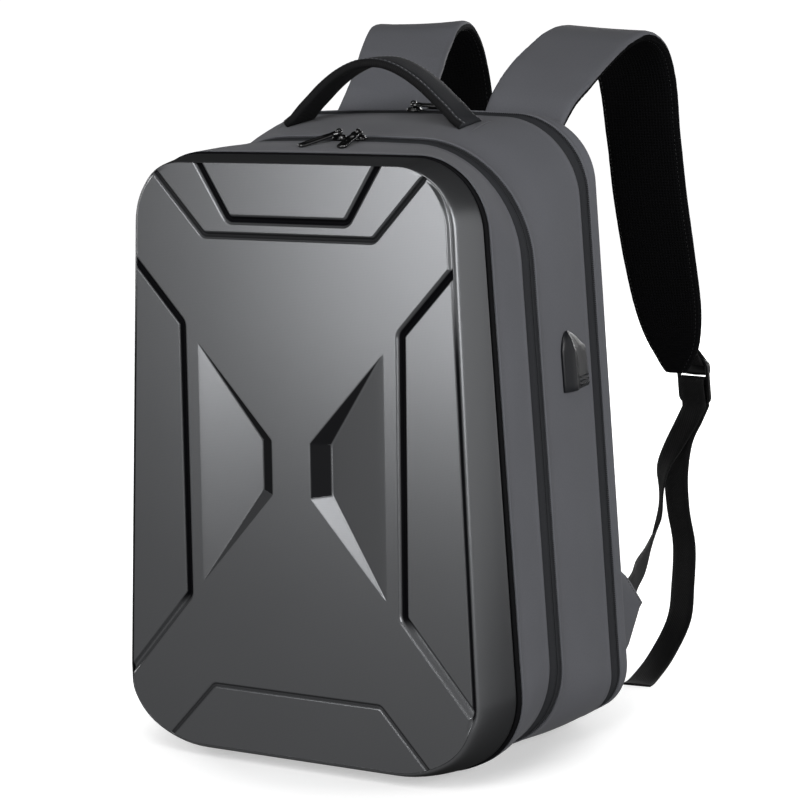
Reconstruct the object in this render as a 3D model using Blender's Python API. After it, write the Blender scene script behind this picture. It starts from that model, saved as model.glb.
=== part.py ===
"""Hard shell backpack: a moulded shell on a gusseted fabric body, with straps, zips and a charging port.

Metres, +Z up, the moulded face towards -Y and the straps behind it. The origin is the middle of the foot.
Depth is measured from the moulded face towards the back."""

import math

import bmesh
import bpy
from mathutils import Matrix, Vector
from mathutils.geometry import delaunay_2d_cdt

GAP = 0.0003

# The body: depth runs back from the foot of the moulded face, and the origin lies this far behind it
ORIGIN_DEPTH = 0.1125
HALF_WIDTH_FOOT = 0.1650
SIDE_TAPER = 0.0443
MIDDLE_LEVEL = 0.240
MIDDLE_DEPTH = 0.1480
FACE_LEAN = 0.045
FABRIC_WALL = 0.0030

SHELL_WALL = 0.0030
SHELL_RIM = 0.0468
PIPING_DEPTH = 0.0500
FRONT_GUSSET = 0.0528
FRONT_FULL = 0.0720
FRONT_ZIP = 0.0925
MIDDLE_GUSSET = 0.1125
REAR_ZIP = 0.1865
REAR_RIM = 0.2025
RIM_FULL = 0.2110
RIM_BACK = 0.2165

# Each seam's outline: swell past the side line, lowest and highest level, corner radii and top crown.
# A lower corner is round in two steps: a tight one on the side, then a wide one into the foot.
OUTLINE_COLUMNS = ("depth", "swell", "low", "high", "side_corner", "foot_corner", "top_corner", "crown")
OUTLINES = (
    (SHELL_RIM, 0.0000, 0.0012, 0.4530, 0.060, 0.094, 0.053, 0.001),
    (FRONT_GUSSET, 0.0015, 0.0003, 0.4540, 0.060, 0.094, 0.055, 0.001),
    (FRONT_FULL, 0.0030, 0.0000, 0.4572, 0.068, 0.094, 0.068, 0.004),
    (FRONT_ZIP, 0.0024, 0.0000, 0.4585, 0.076, 0.092, 0.083, 0.005),
    (MIDDLE_GUSSET, 0.0022, 0.0000, 0.4611, 0.068, 0.094, 0.090, 0.005),
    (MIDDLE_DEPTH, 0.0040, 0.0000, 0.4672, 0.050, 0.100, 0.078, 0.005),
    (REAR_ZIP, 0.0022, 0.0000, 0.4710, 0.037, 0.106, 0.060, 0.005),
    (REAR_RIM, 0.0020, 0.0000, 0.4728, 0.036, 0.105, 0.0585, 0.005),
    (RIM_FULL, 0.0032, 0.0002, 0.4705, 0.040, 0.098, 0.050, 0.004),
    (RIM_BACK, -0.0015, 0.0012, 0.4665, 0.044, 0.090, 0.046, 0.004),
)
CORNER_JOIN = math.radians(-58)
ARC_STEPS = 7
JOIN_STEPS = 3
SIDE_STEPS = 3
FLAT_STEPS = 2

# The welt between shell and fabric: a round cord on a flange that both are sewn to
PIPING_COLUMNS = ("inset", "depth")
PIPING = (
    (0.0032, SHELL_RIM + GAP),
    (0.0014, SHELL_RIM + GAP),
    (0.0004, PIPING_DEPTH - 0.0018),
    (-0.0006, PIPING_DEPTH - 0.0008),
    (-0.0006, PIPING_DEPTH + 0.0008),
    (0.0004, PIPING_DEPTH + 0.0018),
    (0.0014, FRONT_GUSSET - GAP),
    (0.0032, FRONT_GUSSET - GAP),
)

# The back panel fits inside the rim: inset from the outline and depth
BACK_PANEL_COLUMNS = ("inset", "depth")
BACK_PANEL = (
    (0.0270, 0.2192),
    (0.0150, 0.2184),
    (0.0085, 0.2160),
    (0.0034, 0.2120),
    (0.0034, 0.2165),
    (0.0060, 0.2208),
    (0.0130, 0.2232),
    (0.0260, 0.2240),
)

# The moulded shell across its edge: inset from the rim and depth behind the face
SHELL_EDGE_COLUMNS = ("inset", "depth")
SHELL_EDGE = ((0.0090, 0.0026), (0.0062, 0.0052), (0.0036, 0.0100), (0.0014, 0.0190), (0.0, 0.0360))
VALLEY_INSET = 0.0110
VALLEY_DEPTH = 0.0026
PLATEAU_INSET = 0.0135
SIDE_PANEL_DEPTH = 0.0016

# The pressed lines of the face, right half, as (x, z): the left half is their mirror image
GROOVE_COLUMNS = ("points", "width", "depth", "across")
GROOVES = (
    (((0.0735, 0.3963), (0.1140, 0.4393), (0.1340, 0.4605)), 0.0050, 0.0026, True),
    (((0.0511, 0.4080), (0.0753, 0.4462), (0.0900, 0.4693)), 0.0062, 0.0030, True),
    (((0.1800, 0.4211), (0.0952, 0.3303), (0.0944, 0.1266), (0.1900, 0.0175)), 0.0072, 0.0042, False),
    (((0.0732, 0.0598), (0.1141, 0.0165), (0.1330, -0.0035)), 0.0048, 0.0014, True),
)
SIDE_GROOVE = 2
GROOVE_WALL = 0.0016

# The sunk facets: a plane hinged on its outer edge, met by steep walls on the side of the middle
FACET_OUTER = 0.0806
FACET_TOP = 0.3172
FACET_FOOT = 0.1368
FACET_INNER = 0.0162
SHOULDER_HIGH = 0.2480
SHOULDER_LOW = 0.2079
FLOOR_INNER = 0.0300
FLOOR_HIGH = 0.2463
FLOOR_LOW = 0.2093
FACET_DEPTH = 0.0090

# Shoulder straps from the top of the back to the tip, in degrees of turn about the vertical and of roll
STRAP_THICKNESS = 0.0090
STRAP_COLUMNS = ("x", "depth", "z", "half_width", "turn", "roll")
STRAP_TAIL = (
    (0.084, 0.4306, 0.3825, 0.0335, 0, 0),
    (0.084, 0.4443, 0.3318, 0.0330, 0, 0),
    (0.086, 0.4553, 0.2863, 0.0305, 0, 0),
    (0.088, 0.4610, 0.2570, 0.0240, 0, 0),
    (0.088, 0.4635, 0.2390, 0.0150, 0, 0),
    (0.088, 0.4645, 0.2310, 0.0095, 0, 0),
)
RIGHT_STRAP = (
    (0.078, 0.2237, 0.4540, 0.0350, 0, 0),
    (0.078, 0.2480, 0.4765, 0.0350, 2, 6),
    (0.078, 0.2743, 0.4917, 0.0350, 4, 11),
    (0.078, 0.3080, 0.5062, 0.0350, 8, 9),
    (0.079, 0.3416, 0.5177, 0.0350, 10, 7),
    (0.081, 0.3717, 0.5193, 0.0350, 10, 5),
    (0.083, 0.3971, 0.5061, 0.0345, 8, 3),
    (0.084, 0.4119, 0.4794, 0.0340, 3, 0),
    (0.084, 0.4208, 0.4330, 0.0335, 0, 0),
)
LEFT_STRAP = (
    (0.056, 0.2237, 0.4560, 0.0350, 0, 0),
    (0.053, 0.2480, 0.4775, 0.0350, -28, 2),
    (0.059, 0.2745, 0.4960, 0.0350, -35, 2),
    (0.0675, 0.3013, 0.5128, 0.0350, -36, 0),
    (0.074, 0.3279, 0.5253, 0.0350, -35, 0),
    (0.079, 0.3559, 0.5240, 0.0350, -32, 0),
    (0.081, 0.3792, 0.5089, 0.0345, -26, 0),
    (0.083, 0.3969, 0.4801, 0.0340, -16, 0),
    (0.084, 0.4119, 0.4334, 0.0335, -6, 0),
)
STATION_STEPS = 2
SIDES = {"right": 1, "left": -1}

# Ladder-lock behind the strap's tip: its upper end, the way it hangs and its sizes
LOCK_TOP = (0.0965, 0.4780, 0.2410)
LOCK_HANG = (0.020, 0.080, -1.0)
LOCK_TURN = -8
BUCKLE_WIDTH = 0.0320
BUCKLE_LENGTH = 0.0400
BUCKLE_THICKNESS = 0.0030
BUCKLE_CORNER = 0.0070
BAR_HALF = 0.0020
TOP_BAR = BAR_HALF
MIDDLE_BAR = BUCKLE_LENGTH / 2
LOW_BAR = BUCKLE_LENGTH - BAR_HALF
SLOT_WIDTH = 0.0254

WEB_WIDTH = 0.0240
WEB_THICKNESS = 0.0015
WEB_COLUMNS = ("x", "depth", "z", "across_x", "across_y", "across_z")
WEB_TO_WING = (
    (0.0950, 0.4640, 0.1850, 0.97, -0.25, 0.00),
    (0.0940, 0.4430, 0.1700, 0.88, -0.45, 0.00),
    (0.0950, 0.4233, 0.1547, 0.70, -0.70, 0.05),
    (0.0985, 0.4096, 0.1322, 0.50, -0.84, 0.20),
    (0.1050, 0.3870, 0.1130, 0.50, -0.28, 0.80),
    (0.1130, 0.3588, 0.1036, 0.25, -0.10, 0.96),
    (0.1250, 0.3250, 0.1010, 0.10, 0.00, 1.00),
    (0.1360, 0.2900, 0.0995, 0.00, 0.05, 1.00),
    (0.1450, 0.2640, 0.0960, 0.00, 0.10, 1.00),
    (0.1489, 0.2450, 0.0935, 0.00, 0.15, 1.00),
    (0.1489, 0.2300, 0.0920, 0.00, 0.15, 1.00),
)
WEB_TAIL = (
    (0.0965, 0.4700, 0.1870, 1.00, -0.10, 0.00),
    (0.0965, 0.4520, 0.1730, 1.00, -0.12, 0.00),
    (0.0975, 0.4410, 0.1480, 1.00, -0.15, 0.00),
    (0.0995, 0.4395, 0.1180, 1.00, -0.20, 0.00),
    (0.1040, 0.4400, 0.0880, 1.00, -0.22, 0.00),
    (0.1080, 0.4280, 0.0570, 1.00, -0.25, 0.00),
    (0.1130, 0.4085, 0.0310, 1.00, -0.25, 0.00),
    (0.1180, 0.3645, 0.0115, 1.00, -0.18, 0.00),
    (0.1220, 0.3250, 0.0028, 1.00, -0.10, 0.00),
    (0.1240, 0.3080, 0.0024, 1.00, -0.06, 0.00),
)

# Fabric wing behind the rim at the foot, as (depth, z)
WING_CORNERS = (
    (0.2238, 0.1215),
    (0.2389, 0.1115),
    (0.2470, 0.1041),
    (0.2660, 0.0836),
    (0.2612, 0.0808),
    (0.2411, 0.0559),
    (0.2238, 0.0445),
)
WING_X = 0.1500
WING_THICKNESS = 0.0030

# Half of the carry handle's middle line, from its crown to a foot, as (x, z)
HANDLE_DEPTH = 0.1520
HANDLE_WIDTH = 0.0310
HANDLE_THICKNESS = 0.0070
HANDLE_LINE = (
    (0.0000, 0.5130),
    (0.0100, 0.5122),
    (0.0200, 0.5092),
    (0.0300, 0.5045),
    (0.0385, 0.4992),
    (0.0470, 0.4928),
    (0.0545, 0.4862),
    (0.0630, 0.4788),
    (0.0710, 0.4708),
)
HANDLE_FOOT = 0.0775

# Charging port on the right wall, from its foot to its top: where it starts and ends, how far it stands out
PORT_COLUMNS = ("level", "front", "back", "proud")
PORT = (
    (0.2720, 0.1390, 0.1780, 0.0050),
    (0.2990, 0.1386, 0.1758, 0.0050),
    (0.3050, 0.1393, 0.1690, 0.0048),
    (0.3110, 0.1412, 0.1610, 0.0038),
    (0.3150, 0.1440, 0.1530, 0.0022),
    (0.3165, 0.1465, 0.1500, 0.0010),
)
PORT_RIDGE = 0.3400

# Zip sliders on the top: place across, seam depth, and the heading of the pull (0 is towards the front)
SLIDER_COLUMNS = ("name", "x", "depth", "heading", "drop")
SLIDERS = (
    ("left", -0.0040, 0.1000, -20, 4),
    ("right", 0.0125, 0.1000, 12, 4),
    ("rear", 0.0020, 0.1970, 90, 3),
)
SLIDER_LENGTH = 0.0120
SLIDER_WIDTH = 0.0084
SLIDER_HEIGHT = 0.0034
BRIDGE_INNER = 0.0018
BRIDGE_OUTER = 0.0030
BRIDGE_WIDTH = 0.0022
PULL_LENGTH = 0.0380
PULL_WIDTH = 0.0084
PULL_THICKNESS = 0.0016
PULL_EYE = 0.0042
PULL_BAR = 0.0012

FOLD_STEPS = 6
FOLD_RADIUS = math.hypot(BAR_HALF, BUCKLE_THICKNESS / 2) + 1.5 * GAP + WEB_THICKNESS / 2
WEB_STEPS = 2


def clear_scene():
    for item in list(bpy.data.objects):
        bpy.data.objects.remove(item, do_unlink=True)


def finish(name, colour, roughness, metallic=0.0):
    """The material of one kind of surface."""
    material = bpy.data.materials.get(name) or bpy.data.materials.new(name)
    material.use_nodes = True
    shader = material.node_tree.nodes["Principled BSDF"]
    shader.inputs["Base Color"].default_value = (*colour, 1.0)
    shader.inputs["Roughness"].default_value = roughness
    shader.inputs["Metallic"].default_value = metallic
    return material


def place(x, depth, z):
    return Vector((x, depth - ORIGIN_DEPTH, z))


def shell_place(x, depth, z):
    """A place on the moulded shell, by its depth behind the face, which leans back from its foot."""
    rim = SHELL_EDGE[-1][1]
    lean = FACE_LEAN * z
    return place(x, lean + depth + (SHELL_RIM - rim - lean) * (depth / rim) ** 2, z)


def add_mesh(name, points, faces, material, smooth_angle=35):
    """One closed body as an object, its faces turned outwards."""
    mesh = bpy.data.meshes.new(name)
    mesh.from_pydata([tuple(p) for p in points], [], faces)
    body = bmesh.new()
    body.from_mesh(mesh)
    bmesh.ops.remove_doubles(body, verts=body.verts, dist=1e-6)
    bmesh.ops.recalc_face_normals(body, faces=body.faces)
    body.to_mesh(mesh)
    body.free()
    mesh.shade_smooth()
    mesh.set_sharp_from_angle(angle=math.radians(smooth_angle))
    mesh.materials.append(material)
    item = bpy.data.objects.new(name, mesh)
    bpy.context.scene.collection.objects.link(item)
    return item


def add_boolean(item, other, operation):
    """Joins or cuts one object with another, which is then only a guide."""
    change = item.modifiers.new(operation.lower(), "BOOLEAN")
    change.operation = operation
    change.object = other
    other.hide_render = True
    other.display_type = "WIRE"


def half_width(z, swell=0.0):
    return HALF_WIDTH_FOOT - SIDE_TAPER * z + swell


def outline_sizes(depth):
    """The outline's sizes at any depth, between the rows of OUTLINES."""
    rows = [dict(zip(OUTLINE_COLUMNS, row)) for row in OUTLINES]
    before, after = rows[0], rows[-1]
    for row in rows:
        if row["depth"] <= depth:
            before = row
    for row in reversed(rows):
        if row["depth"] >= depth:
            after = row
    span = after["depth"] - before["depth"]
    share = (depth - before["depth"]) / span if span > 0 else 0.0
    return {key: before[key] + (after[key] - before[key]) * share for key in OUTLINE_COLUMNS}


def spaced(start, end, steps):
    """Points from start up to but not including end."""
    return [start.lerp(end, i / steps) for i in range(steps)]


def offset_loop(loop, distance):
    """A closed anticlockwise loop moved outwards by a distance."""
    moved = []
    for i, point in enumerate(loop):
        before = (point - loop[i - 1]).normalized()
        after = (loop[(i + 1) % len(loop)] - point).normalized()
        along = (before + after).normalized()
        moved.append(point + distance * Vector((along.y, -along.x)))
    return moved


def arc_points(centre, radius, start, end, steps):
    angles = [start + (end - start) * i / steps for i in range(steps + 1)]
    return [centre + radius * Vector((math.cos(a), math.sin(a))) for a in angles]


def bag_outline(depth, inset=0.0):
    """The bag's outline at a depth: a closed anticlockwise loop of (x, z) from the middle of the foot."""
    row = outline_sizes(depth)
    low, high = row["low"], row["high"]
    wide, narrow = half_width(low, row["swell"]), half_width(high, row["swell"])
    slope = (narrow - wide) / (high - low)
    reach = math.hypot(1.0, slope)
    side_angle = math.atan2(-slope, 1.0)
    level = low + row["foot_corner"] + math.sin(CORNER_JOIN) * (row["foot_corner"] - row["side_corner"])
    top_level = high - row["top_corner"]
    lower = Vector((wide + slope * (level - low) - row["side_corner"] * reach, level))
    upper = Vector((wide + slope * (top_level - low) - row["top_corner"] * reach, top_level))
    towards_join = Vector((math.cos(CORNER_JOIN), math.sin(CORNER_JOIN)))
    wider = lower + towards_join * (row["side_corner"] - row["foot_corner"])
    arcs = [
        arc_points(wider, row["foot_corner"], -math.pi / 2, CORNER_JOIN, JOIN_STEPS)
        + arc_points(lower, row["side_corner"], CORNER_JOIN, side_angle, ARC_STEPS)[1:],
        arc_points(upper, row["top_corner"], side_angle, math.pi / 2, ARC_STEPS),
    ]
    foot, top = Vector((0.0, low)), Vector((0.0, high))
    right = spaced(foot, arcs[0][0], FLAT_STEPS) + arcs[0][:-1]
    right += spaced(arcs[0][-1], arcs[1][0], SIDE_STEPS) + arcs[1][:-1]
    right += spaced(arcs[1][-1], top, FLAT_STEPS) + [top]
    for point in right:
        upper = max(0.0, (point.y - MIDDLE_LEVEL) / (high - MIDDLE_LEVEL))
        point.y -= row["crown"] * (point.x / narrow) ** 2 * upper
    loop = right + [Vector((-p.x, p.y)) for p in reversed(right[1:-1])]
    return offset_loop(loop, -inset)


def loft_faces(rings, count, around=False):
    """Faces between rings of equal length, and from last to first where the form closes on itself."""
    faces = []
    for r in range(rings if around else rings - 1):
        a, b = r * count, ((r + 1) % rings) * count
        faces += [(a + i, a + (i + 1) % count, b + (i + 1) % count, b + i) for i in range(count)]
    return faces


def add_loft(name, sections, material):
    """A solid through closed sections of equal length, capped at both ends."""
    count = len(sections[0])
    points = [p for section in sections for p in section]
    faces = loft_faces(len(sections), count)
    faces += [tuple(range(count)), tuple(range(len(points) - count, len(points)))]
    return add_mesh(name, points, faces, material)


def add_wall_band(name, depths, material):
    """A band of the fabric wall that runs right round the bag."""
    loops = [[place(p.x, d, p.y) for p in bag_outline(d)] for d in depths]
    loops += [[place(p.x, d, p.y) for p in bag_outline(d, FABRIC_WALL)] for d in reversed(depths)]
    points = [p for loop in loops for p in loop]
    return add_mesh(name, points, loft_faces(len(loops), len(loops[0]), around=True), material)


def add_piping(material):
    """The round welt between the shell's rim and the fabric."""
    loops = []
    for values in PIPING:
        row = dict(zip(PIPING_COLUMNS, values))
        loops.append([place(p.x, row["depth"], p.y) for p in bag_outline(PIPING_DEPTH, row["inset"])])
    points = [p for loop in loops for p in loop]
    return add_mesh("piping", points, loft_faces(len(loops), len(loops[0]), around=True), material, 60)


def add_back_panel(material):
    rows = [dict(zip(BACK_PANEL_COLUMNS, row)) for row in BACK_PANEL]
    sections = []
    for row in rows:
        loop = bag_outline(min(row["depth"], RIM_BACK), row["inset"])
        sections.append([place(p.x, row["depth"], p.y) for p in loop])
    return add_loft("back_panel", sections, material)


def offset_line(line, distance):
    """An open line moved to its right by a distance, with mitred corners."""
    moved = []
    for i, point in enumerate(line):
        before = (point - line[i - 1]).normalized() if i else None
        after = (line[i + 1] - point).normalized() if i < len(line) - 1 else None
        before, after = before or after, after or before
        normals = [Vector((a.y, -a.x)) for a in (before, after)]
        middle = (normals[0] + normals[1]).normalized()
        moved.append(point + middle * distance / middle.dot(normals[0]))
    return moved


def distance_to_line(point, line):
    nearest = math.inf
    for start, end in zip(line[:-1], line[1:]):
        along = end - start
        share = min(max((point - start).dot(along) / along.length_squared, 0.0), 1.0)
        nearest = min(nearest, (point - start - along * share).length)
    return nearest


def groove_lines():
    """Every pressed line of both halves, as (line, width, depth)."""
    lines = []
    for row in GROOVES:
        groove = dict(zip(GROOVE_COLUMNS, row))
        right = [Vector(p) for p in groove["points"]]
        left = [Vector((-p.x, p.y)) for p in reversed(right)]
        both = [left + right] if groove["across"] else [left, right]
        lines += [(line, groove["width"], groove["depth"]) for line in both]
    return lines


def side_panel_edge(level):
    """How far out the side panel starts at a level, or infinity above and below it."""
    line = GROOVES[SIDE_GROOVE][0]
    for (x0, z0), (x1, z1) in zip(line[:-1], line[1:]):
        if z1 <= level <= z0:
            return x0 + (x1 - x0) * (z0 - level) / (z0 - z1)
    return math.inf


def below_line(point, outer, inner, sign):
    """How far a point lies inside the facet from the edge between an outer tip and an inner shoulder."""
    along = (inner - outer).normalized()
    return sign * (along.x * (point.y - outer.y) - along.y * (point.x - outer.x))


def facet_depth(x, z):
    point = Vector((abs(x), z))
    high = (Vector((FACET_OUTER, FACET_TOP)), Vector((FACET_INNER, SHOULDER_HIGH)), 1)
    low = (Vector((FACET_OUTER, FACET_FOOT)), Vector((FACET_INNER, SHOULDER_LOW)), -1)
    plane = (FACET_OUTER - point.x) / (FACET_OUTER - FLOOR_INNER)
    walls = [(point.x - FACET_INNER) / (FLOOR_INNER - FACET_INNER)]
    for edge, corner in ((high, Vector((FLOOR_INNER, FLOOR_HIGH))), (low, Vector((FLOOR_INNER, FLOOR_LOW)))):
        walls.append(below_line(point, *edge) / below_line(corner, *edge))
    return FACET_DEPTH * max(0.0, min(plane, *walls))


def facet_edges(side):
    """The facet's fold lines on one side."""
    outer = [(FACET_OUTER, FACET_TOP), (FACET_INNER, SHOULDER_HIGH), (FACET_INNER, SHOULDER_LOW)]
    outer += [(FACET_OUTER, FACET_FOOT), (FACET_OUTER, FACET_TOP)]
    floor = [(FACET_OUTER, FACET_TOP), (FLOOR_INNER, FLOOR_HIGH), (FLOOR_INNER, FLOOR_LOW)]
    floor += [(FACET_OUTER, FACET_FOOT)]
    folds = [[(FACET_INNER, SHOULDER_HIGH), (FLOOR_INNER, FLOOR_HIGH)]]
    folds += [[(FACET_INNER, SHOULDER_LOW), (FLOOR_INNER, FLOOR_LOW)]]
    return [[Vector((side * x, z)) for x, z in line] for line in [outer, floor, *folds]]


def inside(point, loop):
    crossings = 0
    for a, b in zip(loop, loop[1:] + loop[:1]):
        if (a.y > point.y) != (b.y > point.y):
            crossings += point.x < a.x + (b.x - a.x) * (point.y - a.y) / (b.y - a.y)
    return crossings % 2 == 1


def face_depth(point, grooves, valley):
    """How far the moulded face is pressed in at a place."""
    to_edge = distance_to_line(point, valley + valley[:1])
    depth = VALLEY_DEPTH * max(0.0, 1.0 - to_edge / (PLATEAU_INSET - VALLEY_INSET))
    if abs(point.x) > side_panel_edge(point.y):
        depth = max(depth, SIDE_PANEL_DEPTH)
    for line, width, groove_depth in grooves:
        wall = (width / 2 - distance_to_line(point, line)) / GROOVE_WALL
        depth = max(depth, groove_depth * min(max(wall, 0.0), 1.0))
    return max(depth, facet_depth(point.x, point.y))


def face_triangles():
    """The moulded face as (x, z) points, their depths, triangles, and its border's points in order."""
    valley = bag_outline(SHELL_RIM, VALLEY_INSET)
    plateau = bag_outline(SHELL_RIM, PLATEAU_INSET)
    grooves = groove_lines()
    lines = [valley + valley[:1], plateau + plateau[:1]]
    for line, width, _ in grooves:
        for offset in (width / 2, width / 2 - GROOVE_WALL):
            lines += [offset_line(line, offset), offset_line(line, -offset)]
    for side in SIDES.values():
        lines += facet_edges(side)
    points, edges = [], []
    for line in lines:
        start = len(points)
        points += line
        edges += [(start + i, start + i + 1) for i in range(len(line) - 1)]
    points, _, triangles, *_ = delaunay_2d_cdt(points, edges, [], 0, 1e-6)
    grown = offset_loop(valley, 1e-6)
    kept = [t for t in triangles if inside(sum((points[i] for i in t), Vector((0.0, 0.0))) / 3, grown)]
    used = sorted({i for t in kept for i in t})
    number = {old: new for new, old in enumerate(used)}
    kept = [tuple(number[i] for i in t) for t in kept]
    points = [Vector(points[i]) for i in used]
    return points, [face_depth(p, grooves, valley) for p in points], kept, border_of(kept)


def border_of(triangles):
    """The open border of a sheet of triangles, as point numbers in order."""
    directed = {(t[i], t[(i + 1) % 3]) for t in triangles for i in range(3)}
    following = {a: b for a, b in directed if (b, a) not in directed}
    start = next(iter(following))
    border = [start]
    while following[border[-1]] != start:
        border.append(following[border[-1]])
    return border


def add_front_shell(material):
    """The moulded shell: a pressed face, a rolled edge and a rim, as a wall of one thickness."""
    flat, depths, triangles, border = face_triangles()
    face_count, ring_count = len(flat), len(border)
    points = [shell_place(p.x, d, p.y) for p, d in zip(flat, depths)]
    points += [p + Vector((0.0, SHELL_WALL, 0.0)) for p in points[:face_count]]
    faces = triangles + [tuple(i + face_count for i in reversed(t)) for t in triangles]
    edge = [flat[i] for i in border]
    rows = [dict(zip(SHELL_EDGE_COLUMNS, row)) for row in SHELL_EDGE]
    outer = [(row["inset"], row["depth"]) for row in rows]
    inner = []
    for row in rows:
        steep = min(row["depth"] / SHELL_EDGE[2][1], 1.0)
        depth = row["depth"] + SHELL_WALL * (1.0 - steep) * 0.9
        inner.append((row["inset"] + SHELL_WALL * (0.6 + 0.4 * steep), min(depth, SHELL_EDGE[-1][1])))
    rings = [border]
    for inset, depth in outer + inner[::-1]:
        loop = offset_loop(edge, VALLEY_INSET - inset)
        rings.append(range(len(points), len(points) + ring_count))
        points += [shell_place(p.x, depth, p.y) for p in loop]
    rings.append([i + face_count for i in border])
    for a, b in zip(rings[:-1], rings[1:]):
        for i in range(ring_count):
            j = (i + 1) % ring_count
            faces.append((a[i], a[j], b[j], b[i]))
    return add_mesh("front_shell", points, faces, material, 25)


def smooth_path(rows, steps):
    """Rows of numbers with steps - 1 more between each two, along a Catmull-Rom curve."""
    path = []
    for i in range(len(rows) - 1):
        near = [rows[min(max(i + k, 0), len(rows) - 1)] for k in (-1, 0, 1, 2)]
        for s in range(steps):
            t = s / steps
            weights = (
                (-t + 2 * t * t - t**3) / 2,
                (2 - 5 * t * t + 3 * t**3) / 2,
                (t + 4 * t * t - 3 * t**3) / 2,
                (-t * t + t**3) / 2,
            )
            path.append(tuple(sum(w * r[k] for w, r in zip(weights, near)) for k in range(len(rows[0]))))
    return path + [tuple(rows[-1])]


def band_frames(centres, turns, rolls):
    """For each station of a band, the direction across it and the direction out of its face."""
    frames = []
    for i in range(len(centres)):
        along = (centres[min(i + 1, len(centres) - 1)] - centres[max(i - 1, 0)]).normalized()
        across = Matrix.Rotation(math.radians(turns[i]), 3, "Z") @ Vector((1.0, 0.0, 0.0))
        across = (across - along * across.dot(along)).normalized()
        across = Matrix.Rotation(math.radians(rolls[i]), 3, along) @ across
        frames.append((across, across.cross(along).normalized()))
    return frames


def padded_section(centre, across, up, half, thick):
    """A padded band's cross-section, with rounded edges."""
    edge = thick / 2
    shape = ((half - edge, edge), (half - 0.3 * edge, 0.7 * edge), (half, 0.0))
    shape += ((half - 0.3 * edge, -0.7 * edge), (half - edge, -edge))
    shape += tuple((-a, -b) for a, b in shape)
    return [centre + a * across + b * up for a, b in shape]


def flat_section(centre, across, up, half, thick):
    corners = ((half, thick / 2), (half, -thick / 2), (-half, -thick / 2), (-half, thick / 2))
    return [centre + a * across + b * up for a, b in corners]


def mirrored(sections, side):
    return [[Vector((side * p.x, p.y, p.z)) for p in section] for section in sections]


def strap_path(rows):
    """A shoulder strap's centres, frames and half widths as they are on the right side."""
    path = smooth_path(rows + STRAP_TAIL, STATION_STEPS)
    centres = [place(*row[:3]) for row in path]
    columns = dict(zip(STRAP_COLUMNS, zip(*path)))
    frames = band_frames(centres, columns["turn"], columns["roll"])
    frames[0] = (Vector((1.0, 0.0, 0.0)), Vector((0.0, 0.0, 1.0)))
    return centres, frames, columns["half_width"]


def add_shoulder_strap(side_name, side, material):
    """A padded strap that starts flat on the back, arches over and narrows to its tip."""
    centres, frames, halves = strap_path({"right": RIGHT_STRAP, "left": LEFT_STRAP}[side_name])
    stations = zip(centres, frames, halves)
    sections = [padded_section(c, across, up, half, STRAP_THICKNESS) for c, (across, up), half in stations]
    return add_loft("strap_" + side_name, mirrored(sections, side), material)


def lock_place(across_by, along_by, out_by):
    """A place on the ladder-lock of the right side: across it, down along it and out from its middle."""
    along = Vector(LOCK_HANG).normalized()
    across = Matrix.Rotation(math.radians(LOCK_TURN), 3, "Z") @ Vector((1.0, 0.0, 0.0))
    across = (across - along * across.dot(along)).normalized()
    out = across.cross(along)
    return place(*LOCK_TOP) + across * across_by + along * along_by + out * out_by


def rounded_rectangle(width, length, corner, steps=3):
    """A rounded rectangle centred across, from 0 to its length."""
    loop = []
    for quarter, (sx, sy) in enumerate(((1, 1), (-1, 1), (-1, -1), (1, -1))):
        centre = Vector((sx * (width / 2 - corner), length / 2 + sy * (length / 2 - corner)))
        loop += arc_points(centre, corner, math.pi / 2 * quarter, math.pi / 2 * (quarter + 1), steps)
    return loop


def add_buckle(side_name, side, material):
    """A ladder-lock: a rounded frame with two slots between its three bars."""
    outline = rounded_rectangle(BUCKLE_WIDTH, BUCKLE_LENGTH, BUCKLE_CORNER)
    faces = (-BUCKLE_THICKNESS / 2, BUCKLE_THICKNESS / 2)
    sections = [[lock_place(a, b, out) for a, b in outline] for out in faces]
    buckle = add_loft("buckle_" + side_name, mirrored(sections, side), material)
    half = SLOT_WIDTH / 2
    for before, after in ((TOP_BAR, MIDDLE_BAR), (MIDDLE_BAR, LOW_BAR)):
        start, end = before + BAR_HALF, after - BAR_HALF
        corners = ((half, start), (half, end), (-half, end), (-half, start))
        slot = [[lock_place(a, b, 2 * out) for a, b in corners] for out in faces]
        cutter = add_loft(f"slot_{side_name}_{after:.3f}", mirrored(slot, side), material)
        add_boolean(buckle, cutter, "DIFFERENCE")


def flat_frames(centres, across):
    """Frames for a flat band that keeps one direction across all along it."""
    frames = []
    for i in range(len(centres)):
        along = centres[min(i + 1, len(centres) - 1)] - centres[max(i - 1, 0)]
        frames.append((across, across.cross(along).normalized()))
    return frames


def add_web(name, side, centres, frames, material):
    sections = [flat_section(c, a, u, WEB_WIDTH / 2, WEB_THICKNESS) for c, (a, u) in zip(centres, frames)]
    return add_loft(name, mirrored(sections, side), material)


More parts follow.
